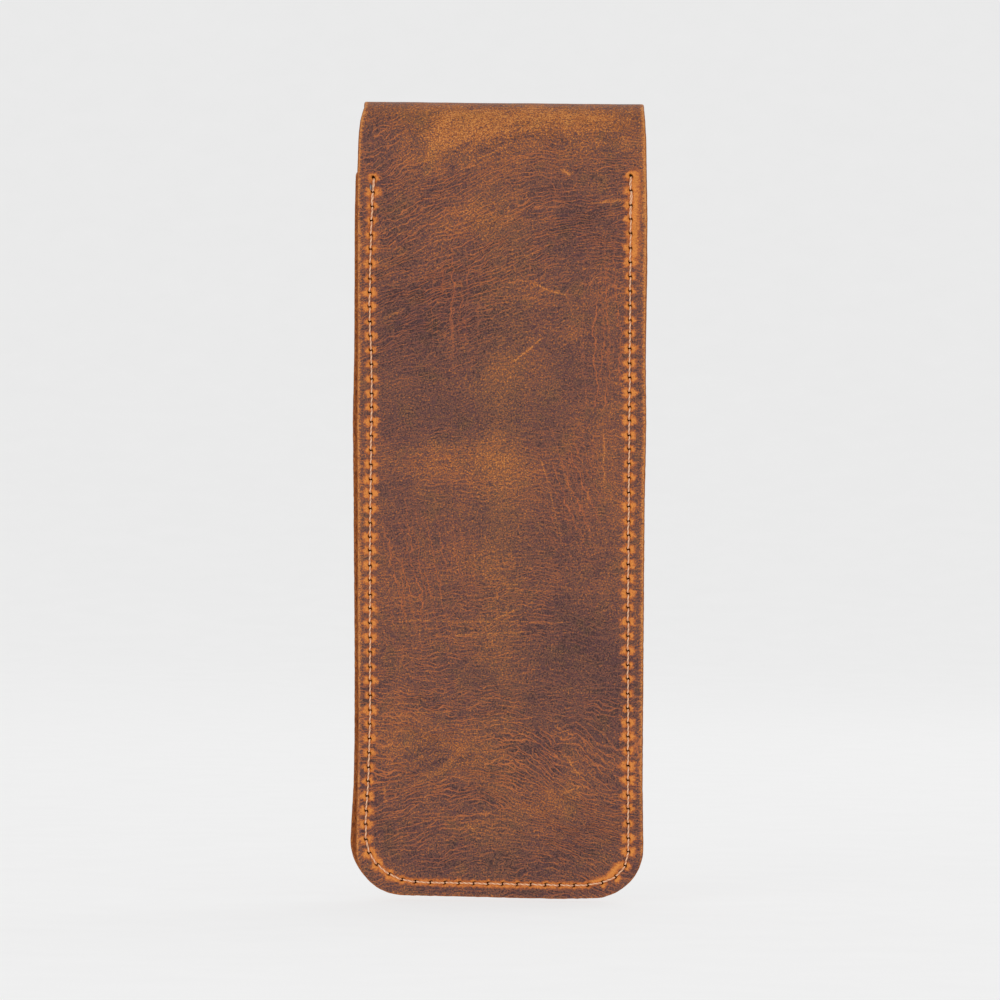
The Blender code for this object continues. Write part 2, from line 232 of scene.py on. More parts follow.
def outline(span, ends, inset, step=0.36):
    """Side and end lines in the even frame of a strip of hide that spans s = lower to upper.
    ends are the (left, right) corner radii of its bottom and top, or None where the hide carries on.
    Returns (lines, closed) with the same number of points for every inset."""
    lower, upper = span
    bottom, top = ends
    half = BASE_HALF - inset

    def line(p, q, length):
        t = np.linspace(0, 1, max(2, int(round(length / step)) + 1))[:, None]
        return np.array([p]) * (1 - t) + np.array([q]) * t

    def corner(x, s, radius, start):
        t = np.radians(np.linspace(start, start + 90, max(4, int(round(radius * math.pi / 2 / step)) + 1)))
        return np.column_stack([x + (radius - inset) * np.cos(t), s + (radius - inset) * np.sin(t)])[1:]

    def across(s, left, right):
        """Straight end line from its left corner to its right one."""
        return line((-BASE_HALF + left, s), (BASE_HALF - right, s), 2 * BASE_HALF - left - right)[1:]

    bl, br = bottom or (0, 0)
    tl, tr = top or (0, 0)
    left = line((-half, upper - tl), (-half, lower + bl), upper - tl - lower - bl)
    right = line((half, lower + br), (half, upper - tr), upper - tr - lower - br)
    if bottom:
        left = np.concatenate([left, corner(-BASE_HALF + bl, lower + bl, bl, 180),
                               across(lower + inset, bl, br), corner(BASE_HALF - br, lower + br, br, 270)])
        right = right[1:]
    if not top:
        return ([np.concatenate([left, right])] if bottom else [left, right]), False
    over = [corner(BASE_HALF - tr, upper - tr, tr, 0),
            line((BASE_HALF - tr, upper - inset), (-BASE_HALF + tl, upper - inset), 2 * BASE_HALF - tl - tr)[1:],
            corner(-BASE_HALF + tl, upper - tl, tl, 90)]
    if bottom:
        return [np.concatenate([left, right, *over])[:-1]], True
    return [np.concatenate([right, *over, left[1:]])], False


def hex_points(x0, x1, s0, s1, step):
    """Staggered points over a rectangle, a little uneven."""
    rows = np.arange(s0, s1, step * 0.866)
    cols = np.arange(x0, x1, step)
    gx, gs = np.meshgrid(cols, rows)
    gx = gx + (np.arange(len(rows)) % 2)[:, None] * step / 2
    spread = np.random.default_rng(int(step * 1000) + len(rows))
    gx = gx + spread.uniform(-0.12, 0.12, gx.shape) * step
    gs = gs + spread.uniform(-0.12, 0.12, gs.shape) * step
    return np.column_stack([gx.ravel(), gs.ravel()])


def inside(points, loop):
    """Which points lie inside a closed loop."""
    x, y = points.T
    result = np.zeros(len(points), bool)
    order = np.argsort(y)
    ys = y[order]
    for (ax, ay), (bx, by) in zip(loop, np.roll(loop, -1, axis=0)):
        i, j = np.searchsorted(ys, min(ay, by)), np.searchsorted(ys, max(ay, by))
        if i < j:
            idx = order[i:j]
            result[idx] ^= x[idx] < ax + (y[idx] - ay) * (bx - ax) / (by - ay)
    return result


# ---------------------------------------------------------------- needle holes
def stitch_points(line):
    """Hole centres at a nearly even pitch along the seam, as (x, s, direction)."""
    length = run_along(line)[-1]
    count = int(round(length / PITCH))
    uneven = np.random.default_rng(7).normal(0, 0.09, count + 1)
    uneven[[0, -1]] = 0
    at = np.linspace(0, length, count + 1) + uneven
    dx, ds = (at_runs(line, at + 0.4) - at_runs(line, at - 0.4)).T
    return np.column_stack([at_runs(line, at), np.arctan2(ds, dx)])


HOLES = stitch_points(SEAM_LINE)
HOLE_LONG, HOLE_WIDE = 0.44, 0.29      # half axes of a needle hole, which leans across the seam
HOLE_LEAN = math.radians(38)
HOLE_REACH = 2.6                       # a hole affects nothing beyond this
HOLE_RINGS = [(0.0, 1), (0.45, 6), (0.85, 10), (1.2, 12), (1.75, 14)]      # (size, points) of the mesh rings


def hole_fields(x, s):
    """For each point, of the nearest hole: elliptic distance, plain distance, angle round it, number."""
    ellip = np.full(len(x), 99.0)
    plain = np.full(len(x), 99.0)
    turn = np.zeros(len(x))
    near = np.zeros(len(x), int)
    for k, (hx, hs, d) in enumerate(HOLES):
        close = (np.abs(x - hx) < HOLE_REACH) & (np.abs(s - hs) < HOLE_REACH)
        dx, ds = x[close] - hx, s[close] - hs
        r = np.hypot(dx, ds)
        lean = d + HOLE_LEAN
        u, v = dx * math.cos(lean) + ds * math.sin(lean), -dx * math.sin(lean) + ds * math.cos(lean)
        better = r < plain[close]
        idx = np.flatnonzero(close)[better]
        plain[idx] = r[better]
        ellip[idx] = np.hypot(u / HOLE_LONG, v / HOLE_WIDE)[better]
        turn[idx] = np.arctan2(ds[better], dx[better]) - d
        near[idx] = k
    return ellip, plain, turn, near


def hole_points():
    """Extra mesh points in rings round each needle hole, so that each is a real hole."""
    out = []
    for hx, hs, d in HOLES:
        lean = d + HOLE_LEAN
        for scale, count in HOLE_RINGS:
            for j in range(count):
                t = 2 * math.pi * (j + 0.5 * (scale > 1)) / count
                u, v = HOLE_LONG * scale * math.cos(t), HOLE_WIDE * scale * math.sin(t)
                out.append((hx + u * math.cos(lean) - v * math.sin(lean),
                            hs + u * math.sin(lean) + v * math.cos(lean)))
    return np.array(out)


# ---------------------------------------------------------------- marks of use on the back
# Tables over the hide: at each height s, values at the places FLOW_X across it.
FLOW_X = [-30, -15, 0, 12, 22, 30]
# slope of the creases
FLOW = [(-5, [0.15, 0.2, 0.1, -0.2, -0.5, -0.3]), (8, [0.15, 0.2, 0.1, -0.2, -0.5, -0.3]),
        (22, [0.3, 0.25, -0.25, -0.55, -0.4, 0.0]), (41, [-0.15, -0.05, 0.05, -0.1, -0.1, 0.0]),
        (50, [0.0, 0.05, 0.05, -0.05, 0.0, 0.05]), (60, [0.1, 0.15, 0.08, 0.0, 0.05, 0.05]),
        (95, [0.1, 0.15, 0.0, -0.1, -0.1, 0.0]), (120, [0.4, 0.4, 0.3, 0.1, 0.0, 0.0]),
        (135, [0.35, 0.45, 0.45, 0.3, 0.1, 0.05]), (150, [0.3, 0.45, 0.4, 0.15, 0.0, -0.05]),
        (166, [0.25, 0.35, 0.15, 0.0, -0.05, -0.05]), (200, [0.05, 0.1, 0.0, 0.0, -0.1, -0.05]),
        (240, [-0.2, -0.1, 0.0, 0.1, 0.2, 0.3])]
# strength of the creases
CREASE = [(-5, [0.45, 0.45, 0.45, 0.6, 0.6, 0.5]), (8, [0.5, 0.5, 0.5, 0.7, 0.8, 0.6]),
          (18, [0.8, 0.8, 0.8, 1.05, 1.0, 0.75]), (28, [1.2, 1.2, 1.1, 0.95, 0.7, 0.6]),
          (38, [1.05, 1.05, 0.8, 0.5, 0.6, 0.7]), (48, [0.5, 0.6, 0.4, 0.2, 0.2, 0.3]),
          (62, [0.3, 0.5, 0.6, 0.5, 0.2, 0.2]), (80, [0.3, 0.2, 0.3, 0.4, 0.3, 0.2]),
          (92, [0.4, 0.6, 0.5, 0.4, 0.3, 0.3]), (105, [0.3, 0.15, 0.15, 0.2, 0.3, 0.4]),
          (118, [0.6, 0.6, 0.3, 0.2, 0.2, 0.3]), (130, [0.7, 1.0, 0.8, 0.5, 0.4, 0.5]),
          (140, [0.7, 1.0, 0.9, 0.7, 0.7, 0.9]), (150, [0.5, 0.9, 0.8, 0.6, 0.6, 0.7]),
          (158, [0.55, 0.85, 0.9, 0.9, 0.8, 0.7]), (166, [0.5, 0.75, 0.8, 0.85, 0.85, 0.8]),
          (200, [0.4, 0.5, 0.6, 0.5, 0.4, 0.4]), (240, [0.5, 0.4, 0.3, 0.4, 0.5, 0.5])]
# Patches: (x, s, half width, half height, amount), worn above 0 and waxed below
WORN = [(-6, 163, 14, 5.5, 0.95), (7, 165.5, 10, 3.5, 0.6), (19, 161, 9, 7, 0.62), (29.6, 146, 1.1, 11, 0.5),
        (-15.5, 157, 6, 5, 0.35), (-4, 157, 11, 5, 0.24), (-4.6, 142, 8, 4, 0.38),
        (1.5, 111.5, 4.5, 4, 0.2), (15, 119, 2.2, 1.6, 0.28), (-12, 92, 13, 4.5, 0.44), (1, 90, 8, 6, 0.16),
        (0, 95, 3.5, 55, 0.09), (-0.5, 65, 7, 8, 0.24), (-12, 49, 9, 7, 0.08), (-17.6, 33, 12, 9, 0.42),
        (-7, 29, 9, 4, 0.3),
        (11.6, 20.5, 9, 5, 0.42), (-5, 16, 4, 2.5, 0.3), (23, 88, 4, 18, 0.2), (19, 30, 8, 6, 0.2),
        (-17, 165, 9, 3.5, -0.25), (17, 144, 9, 6, -0.12), (-13, 122, 12, 7, -0.25), (-14, 101, 12, 7, -0.25),
        (18, 51, 10, 14, -0.14), (0, 8, 18, 4, -0.22), (0, 0.5, 24, 2.2, -0.3), (-18, 80, 8, 5, -0.12),
        (0, 205, 16, 10, 0.35), (-12, 228, 8, 8, 0.3), (15, 218, 7, 12, -0.2)]
CRACKS = [(-10.5, 126.5, 4.5, 8, 1.3), (21.8, 118, 4, 15, 1.4), (-18.5, 69, 7, 11.5, 1.15),
          (15.5, 86, 6, 12, 0.9),
          (-7, 70, 4, 7, 0.4), (12, 150, 3, 4, 0.4)]
# Scratches and scars: ((x, s) from, (x, s) to, half width, amount)
SCRATCHES = [((6.4, 129.6), (13.4, 127.0), 0.22, 0.7), ((13.4, 127.0), (14.8, 122.5), 0.15, 0.4),
             ((2.4, 113.0), (8.2, 118.0), 0.2, 0.8), ((12.9, 153.6), (13.8, 152.6), 0.45, 0.9),
             ((19.0, 146.6), (24.0, 147.2), 0.25, 0.7), ((22.5, 146.9), (26.0, 147.4), 0.35, 0.6),
             ((-24.0, 23.4), (-23.6, 21.0), 0.3, 0.7), ((-6.0, 15.6), (-5.2, 14.8), 0.35, 0.5),
             ((23.8, 108.6), (26.2, 108.4), 0.18, 0.6), ((12.0, 36.5), (15.6, 34.6), 0.18, 0.5),
             ((13.4, 30.6), (18.2, 25.2), 0.2, 0.6), ((18.6, 24.4), (13.5, 22.4), 0.15, 0.5),
             ((-19.5, 58.5), (14.0, 58.4), 0.16, 0.55), ((-13.5, 55.3), (4.5, 56.2), 0.16, 0.45),
             ((-3.0, 58.0), (6.5, 62.5), 0.16, 0.45), ((-22.0, 52.0), (-9.0, 55.0), 0.15, 0.3),
             ((-18.0, 39.2), (-10.5, 39.3), 0.2, 0.45), ((-24.8, 122.0), (-20.5, 124.2), 0.2, 0.45),
             ((15.5, 133.0), (27.0, 132.6), 0.18, 0.5), ((-12.5, 128.8), (-8.5, 129.0), 0.16, 0.4),
             ((18.2, 86.0), (18.8, 74.0), 0.16, 0.35), ((12.5, 92.0), (16.5, 80.0), 0.16, 0.4),
             ((8.5, 92.5), (13.0, 76.0), 0.16, 0.4), ((21.4, 101.0), (21.6, 88.0), 0.16, 0.5)]


def across_flow(x, s):
    """Height of each point measured across the run of the creases, so that level lines follow them."""
    steps = np.linspace(-32, 32, 129)
    rows = np.linspace(-6, 242, 249)
    table = np.zeros((len(rows), len(steps)))
    for k, row in enumerate(rows):
        slope = grid_lookup(steps, np.full(len(steps), row), FLOW_X, FLOW)
        run = np.concatenate([[0], np.cumsum((slope[1:] + slope[:-1]) / 2 * np.diff(steps))])
        table[k] = run - np.interp(0, steps, run)
    i = np.clip((s + 6).astype(float), 0, 246.999)
    j = np.clip((x + 32) * 2, 0, 126.999)
    i0, j0 = i.astype(int), j.astype(int)
    fi, fj = i - i0, j - j0
    g = ((table[i0, j0] * (1 - fj) + table[i0, j0 + 1] * fj) * (1 - fi)
         + (table[i0 + 1, j0] * (1 - fj) + table[i0 + 1, j0 + 1] * fj) * fi)
    return s - g


# ---------------------------------------------------------------- shapes of the two hides
def place_hide(x, s, n):
    """The long piece of hide: flat back, fold and flap. n counts inwards from its grain side."""
    turn = np.clip((s - FOLD_Z) / FOLD_R, 0, math.pi)
    below, beyond = s <= FOLD_Z, s >= FOLD_Z + ARC
    y = np.where(below, n, np.where(beyond, 2 * FOLD_R - n, FOLD_R - (FOLD_R - n) * np.cos(turn)))
    z = np.where(below, s, np.where(beyond, 2 * FOLD_Z + ARC - s, FOLD_Z + (FOLD_R - n) * np.sin(turn)))
    return np.column_stack([MID_X + x * MM, BACK_Y + y * MM, z * MM])


def front_rise(a, s):
    """Height of the moulded front's inner face over the flat sewn border."""
    side = BASE_HALF - np.abs(a)
    radius = FRONT_CORNERS[0]
    into_corner = radius - np.hypot(np.maximum(radius - side, 0), np.maximum(radius - s, 0))
    d = np.where((side < radius) & (s < radius), into_corner, np.minimum(side, s))
    return BULGE * ramp01(d, FLANGE, FLANGE + BULGE_RUN)


def place_front(x, s, n):
    """The moulded front panel. n counts inwards from its grain side."""
    a, base = unfit(x, s, FRONT_SIDES)
    h = 0.25
    rise = front_rise(a, base)
    slope_x = (front_rise(a + h, base) - front_rise(a - h, base)) / (2 * h)
    slope_s = (front_rise(a, base + h) - front_rise(a, np.maximum(base - h, 0))) / (2 * h)
    length = np.sqrt(1 + slope_x ** 2 + slope_s ** 2)
    thick = HIDE - n
    # the sewn borders touch
    close = (GAP - 0.04) * np.clip(n / HIDE, 0, 1) * (1 - np.clip(rise / 0.4, 0, 1))
    return np.column_stack([
        MID_X + (x - slope_x / length * thick) * MM,
        BACK_Y + (HIDE + GAP + rise + thick / length - close) * MM,
        (s - slope_s / length * thick) * MM])


def seam_relief(x, s):
    """How far the seam and its needle holes press into the grain side."""
    to_side = np.minimum(np.abs(x - SEAM_COARSE[:, 0].min()), np.abs(x - SEAM_COARSE[:, 0].max()))
    near = (to_side < 14) & (s < SEAM_END) | (s < 16)
    depth = np.zeros_like(x)
    if near.any():
        d = polyline_distance(x[near], s[near], SEAM_COARSE)
        ellip, plain, _, _ = hole_fields(x[near], s[near])
        depth[near] = (0.2 * np.exp(-(d / 0.55) ** 2) + 1.3 * (1 - ramp01(ellip, 0.5, 1.12))
                       + 0.14 * np.exp(-(plain / 0.8) ** 2) - 0.06 * np.exp(-((plain - 1.3) / 0.5) ** 2))
    return depth


def hide_relief(x, s):
    """Relief of the long hide's grain side, positive inwards: seam, waves and a dent round the stud's cap."""
    cap_s = 2 * FOLD_Z + ARC - SNAP_Z
    return (seam_relief(x, s) + waves(x, s, (0.24, 24, 1), (0.07, 3.0, 3))
            + 0.4 * np.exp(-((x / 8) ** 2 + ((s - cap_s) / 8) ** 2))
            + waves(x, s, (0.35, 18, 5)) * ramp01(s, FOLD_Z + ARC, FOLD_Z + ARC + 15))


def front_relief(x, s):
    """Relief of the front's grain side, positive inwards."""
    return seam_relief(x, s) + waves(x, s, (0.35, 20, 6), (0.07, 3.2, 4))


# ---------------------------------------------------------------- fields the hide's material reads
def stitch_halo(x, s):
    """Pale orange stars where the needle broke the wax, wider across the seam than along it."""
    _, plain, turn, near = hole_fields(x, s)
    spin = np.random.default_rng(11).uniform(0, 6.28, (len(HOLES) + 1, 3))[near]
    size = np.random.default_rng(12).uniform(0.82, 1.18, len(HOLES) + 1)[near]
    along_foot = (1 - ramp01(s, 6, 12)) * (1 - ramp01(np.abs(x), 19, 25))
    wide = (1.08 + 0.62 * np.abs(np.sin(turn)) ** 1.5) * (1 - 0.42 * along_foot)
    spikes = 1 + sum(height * np.sin(count * turn + spin[:, k])
                     for k, (height, count) in enumerate([(0.09, 5), (0.08, 9), (0.08, 17)]))
    return 1 - ramp01(plain / (wide * spikes * size), 0.25, 1.35)


# stretches of the seam where the pale halos have run together: (line, half width, amount)
SEAM_BANDS = [([(-26.6, 10), (-25, 6.6), (-22, 4.4), (-18, 3.6), (0, 3.1), (18, 3.1), (23, 4.6), (25.4, 7.4)],
               0.78, 0.95),
              ([(27.6, 152.5), (27.5, 136)], 1.45, 0.85),
              ([(-27.7, 152), (-28, 141)], 1.1, 0.45)]


def seam_band(x, s):
    return np.max([amount * np.exp(-(polyline_distance(x, s, line) / width) ** 2)
                   for line, width, amount in SEAM_BANDS], axis=0)


def scratch_field(x, s):
    total = np.zeros_like(x)
    wobble = 0.35 * (noise2(x, s, 2.3, 2) - 0.5)
    for start, end, width, amount in SCRATCHES:
        d = polyline_distance(x + wobble, s + wobble, [start, end])
        total = np.maximum(total, np.where(d < 2, amount * np.exp(-(d / width) ** 2), 0))
    return total


def edge_distance(a, base, end):
    """Distance in from the trimmed edges, in the even frame."""
    return np.minimum(np.minimum(BASE_HALF - np.abs(a), base), end - base)


def hide_fields(x, s, a, base):
    edge_gap = edge_distance(a, base, S_END)
    # Paler over the top of the fold: partly wear at the bend, partly painted light that offsets the shade where
    # the fold turns away from the lamps.
    fold_wear_and_painted_light = ramp01(s, FOLD_Z, FOLD_Z + 10) * np.clip(1 - (s - FOLD_Z) / (ARC * 1.1), 0, 1)
    return {
        # Blotches of wear, plus the painted light over the top of the fold.
        "worn": blobs(x, s, WORN) + waves(x, s, (0.3, 13, 2)) + 0.55 * fold_wear_and_painted_light,
        "crease": grid_lookup(x, s, FLOW_X, CREASE),
        "crack": np.clip(blobs(x, s, CRACKS), 0, 1),
        "halo": np.maximum(stitch_halo(x, s), seam_band(x, s)),
        "mark": scratch_field(x, s),
        "edge": (1 - ramp01(edge_gap, 0.15, 0.95)) * (0.4 + 0.6 * ramp01(s, 1.5, 7)),
        "burn": 1 - ramp01(edge_gap, 1.6, 3.0),
        "across": across_flow(x, s),
    }


FRONT_WORN = [(4, 60, 14, 9, 0.3), (-10, 30, 9, 12, 0.25), (12, 95, 9, 7, -0.2), (-6, 100, 9, 9, 0.2)]
FRONT_CRACKS = [(14, 70, 5, 14, 0.8), (-16, 88, 5, 9, 0.8), (-3, 24, 8, 5, 0.6)]


def front_fields(x, s, a, base):
    edge_gap = edge_distance(a, base, MOUTH_Z)
    shoulder = np.exp(-((front_rise(a, base) - BULGE * 0.9) / 1.4) ** 2)
    return {
        "worn": waves(x, s, (0.5, 15, 7)) + 0.16 * shoulder + blobs(x, s, FRONT_WORN),
        "crease": 0.25 + 0.75 * ramp01(fbm(x, s, 22, 4), 0.4, 0.65),
        "crack": np.clip(blobs(x, s, FRONT_CRACKS), 0, 1),
        "halo": np.maximum(stitch_halo(x, s), 0.8 * seam_band(x, s)),
        "mark": np.zeros_like(x),
        "edge": 1 - ramp01(edge_gap, 0.15, 0.75),
        "burn": 1 - ramp01(edge_gap, 1.6, 3.0),
        "across": across_flow(-x, 160 - s),
    }


# ---------------------------------------------------------------- meshes
def add_object(name, mesh, *materials):
    """Puts a smooth-shaded mesh in the scene."""
    mesh.polygons.foreach_set("use_smooth", np.ones(len(mesh.polygons), bool))
    mesh.update()
    obj = bpy.data.objects.new(name, mesh)
    bpy.context.scene.collection.objects.link(obj)
    for material in materials:
        mesh.materials.append(material)
    return obj


def point_field(mesh, name, values):
    """Stores a number or a vector for each point, for the material to read."""
    values = np.asarray(values, np.float32)
    kind, key = ("FLOAT", "value") if values.ndim == 1 else ("FLOAT_VECTOR", "vector")
    mesh.attributes.new(name, kind, "POINT").data.foreach_set(key, values.ravel())


# ---------------------------------------------------------------- turning a flat outline into a closed hide
# Section of a trimmed edge: (inset, depth from the grain side)
RIM = [(0.45, 0.0), (0.22, 0.06), (0.08, 0.2), (0.0, 0.48), (0.02, 0.9), (0.0, 1.32), (0.08, 1.6),
       (0.22, 1.74), (0.45, HIDE)]
GRAIN_SIDE, EDGE_SIDE, FLESH_SIDE = 0, 1, 2                    # material indices


def between(p, q, step=0.7):
    """Points strictly between two points at about this spacing."""
    count = max(2, int(round(math.hypot(q[0] - p[0], q[1] - p[1]) / step)))
    t = np.arange(1, count)[:, None] / count
    return np.array([p]) * (1 - t) + np.array([q]) * t


def full_loop(lines, closed):
    """One closed loop from the trimmed lines, and the loop positions of each line."""
    if closed:
        return lines[0], [np.arange(len(lines[0]))]
    loop, where, count = [], [], 0
    for k, line in enumerate(lines):
        gap = between(line[-1], lines[(k + 1) % len(lines)][0])
        loop += [line, gap]
        where.append(np.arange(count, count + len(line)))
        count += len(line) + len(gap)
    return np.concatenate(loop), where


def triangulate(loop, points):
    """Triangles over a closed loop and the loose points in it: (coordinates, triangles, places of the loop)."""
    all_points = [Vector(p) for p in np.concatenate([loop, points]).tolist()]
    n = len(loop)
    edges = [(i, (i + 1) % n) for i in range(n)]
    co, _, faces, origins, _, _ = delaunay_2d_cdt(all_points, edges, [], 1, 1e-6)
    xy = np.array([(c.x, c.y) for c in co])
    tri = np.array(faces, int)
    where = np.zeros(n, int)
    for k, source in enumerate(origins):
        for o in source:
            if o < n:
                where[o] = k
    a, b, c = xy[tri[:, 0]], xy[tri[:, 1]], xy[tri[:, 2]]
    area = (b[:, 0] - a[:, 0]) * (c[:, 1] - a[:, 1]) - (b[:, 1] - a[:, 1]) * (c[:, 0] - a[:, 0])
    tri[area < 0] = tri[area < 0][:, ::-1]
    return xy, tri, where


def build_hide(name, span, ends, sides, place, relief, fields, grid, flip=False, shift=0.0):
    """A closed piece of hide: grain side, rounded trimmed edges and flesh side, with its material fields."""
    def trimmed(inset):
        lines, closed = outline(span, ends, inset)
        return [np.column_stack(fit_sides(*line.T, sides)) for line in lines], closed

    lines, closed = trimmed(RIM[0][0])
    loop, where = full_loop(lines, closed)
    cuts = [] if closed else [s for s, end in zip(span, ends) if not end]

    def skin(points, clear_of_rim, clear_of_cut):
        """Triangles over one side. The cut lines stay straight, so loose points keep off them."""
        loose = points[inside(points, full_loop(*trimmed(RIM[0][0] + clear_of_rim))[0])]
        for cut in cuts:
            loose = loose[np.abs(loose[:, 1] - cut) > clear_of_cut]
        return triangulate(loop, loose)

    grain_xy, grain_tri, grain_at = skin(grid, 0.28, 0.3)
    flesh_xy, flesh_tri, flesh_at = skin(plain_grid(span[0] - 2, span[1] + 2, 1.5), 0.7, 0.8)
    grain_n = relief(*grain_xy.T)
    flesh_n = HIDE + waves(*flesh_xy.T, (0.12, 3, 2))
    x, s = [grain_xy[:, 0], flesh_xy[:, 0]], [grain_xy[:, 1], flesh_xy[:, 1]]
    n = [grain_n, flesh_n]
    count = len(grain_xy) + len(flesh_xy)
    quads, quad_side = [], []
    for number, idx in enumerate(where):
        ring = grain_at[idx]
        start_n, end_n = grain_n[ring], flesh_n[flesh_at[idx]]
        for k, (inset, depth) in enumerate(RIM[1:], 1):
            if k == len(RIM) - 1:
                following = flesh_at[idx] + len(grain_xy)
            else:
                line = trimmed(inset)[0][number]
                along = np.arange(len(line)) * 0.36 + 50 * number
                wobble = 0.10 * (noise2(along, np.full(len(line), depth * 3.0), 0.9, 5) - 0.5)
                if not closed:
                    wobble[[0, -1]] = 0
                away = line - line.mean(0)
                line = line + away / (np.hypot(*away.T)[:, None] + 1e-9) * wobble[:, None]
                x.append(line[:, 0])
                s.append(line[:, 1])
                n.append(start_n + (end_n - start_n) * (depth / HIDE) if k > 1 else start_n + depth)
                following = np.arange(count, count + len(line))
                count += len(line)
            strip = np.column_stack([ring, following, np.roll(following, -1), np.roll(ring, -1)])
            quads.append(strip if closed else strip[:-1])
            quad_side.append(np.full(len(quads[-1]), GRAIN_SIDE if k == 1 else EDGE_SIDE))
            ring = following
    x, s, n = np.concatenate(x), np.concatenate(s), np.concatenate(n)
    tris = np.concatenate([grain_tri, flesh_tri[:, ::-1] + len(grain_xy)])
    tri_side = np.repeat([GRAIN_SIDE, FLESH_SIDE], [len(grain_tri), len(flesh_tri)])
    faces = [*tris, *np.concatenate(quads)]
    mesh = bpy.data.meshes.new(name)
    mesh.from_pydata(place(x, s, n), [], [face[::-1].tolist() if flip else face.tolist() for face in faces])
    mesh.polygons.foreach_set("material_index", np.concatenate([tri_side, *quad_side]).astype(np.int32))
    mesh.validate()

    values = fields(x, s, *unfit(x, s, sides))
    point_field(mesh, "rest", np.column_stack([x + shift, s, n]))
    point_field(mesh, "flow", np.column_stack([x + shift, values.pop("across"), n * 0]))
    # Near black inside each needle hole: painted shade.
    values["painted_pit_shade"] = 1 - ramp01(hole_fields(x, s)[0], 0.75, 1.55)
    for key, value in values.items():
        point_field(mesh, key, value)
    return add_object(name, mesh, GRAIN, EDGE, FLESH)


def plain_grid(low, high, step):
    """Loose points over a stretch of hide."""
    return hex_points(-BEYOND, BEYOND, low, high, step)


def scratch_points():
    """Rows of points along each scratch."""
    out = []
    for (ax, ay), (bx, by), _, _ in SCRATCHES:
        length = math.hypot(bx - ax, by - ay)
        ux, uy = (bx - ax) / length, (by - ay) / length
        for across in (-0.42, -0.2, 0.0, 0.2, 0.42):
            for run in np.arange(-0.3 + 0.13 * (across > 0), length + 0.3, 0.27):
                out.append((ax + ux * run - uy * across, ay + uy * run + ux * across))
    return np.array(out)


def sewn_grid(half, s0, s1, coarse, scratched=False):
    """Loose points: fine near the seam, rings round the holes, and coarse elsewhere."""
    band = 1.75
    wide = hex_points(-half, half, s0, s1, coarse)
    if scratched:
        for start, end, _, _ in SCRATCHES:
            wide = wide[polyline_distance(*wide.T, (start, end)) > 0.62]
        wide = np.concatenate([wide, scratch_points()])
    wide = wide[polyline_distance(*wide.T, SEAM_COARSE) > band]
    close = hex_points(-half, half, max(s0, -1), min(s1, SEAM_END), 0.34)
    close = close[(np.abs(close[:, 0]) > 20) | (close[:, 1] < 12)]
    close = close[polyline_distance(*close.T, SEAM_COARSE) <= band - 0.1]
    close = close[hole_fields(*close.T)[0] > 2.1]
    return np.concatenate([wide, close, hole_points()])


# ---------------------------------------------------------------- materials
def srgb(r, g, b):
    """Display colour 0..255 to the linear colour a shader takes."""
    shares = (r / 255, g / 255, b / 255)
    linear = [v / 12.92 if v <= 0.04045 else ((v + 0.055) / 1.055) ** 2.4 for v in shares]
    return (*linear, 1.0)


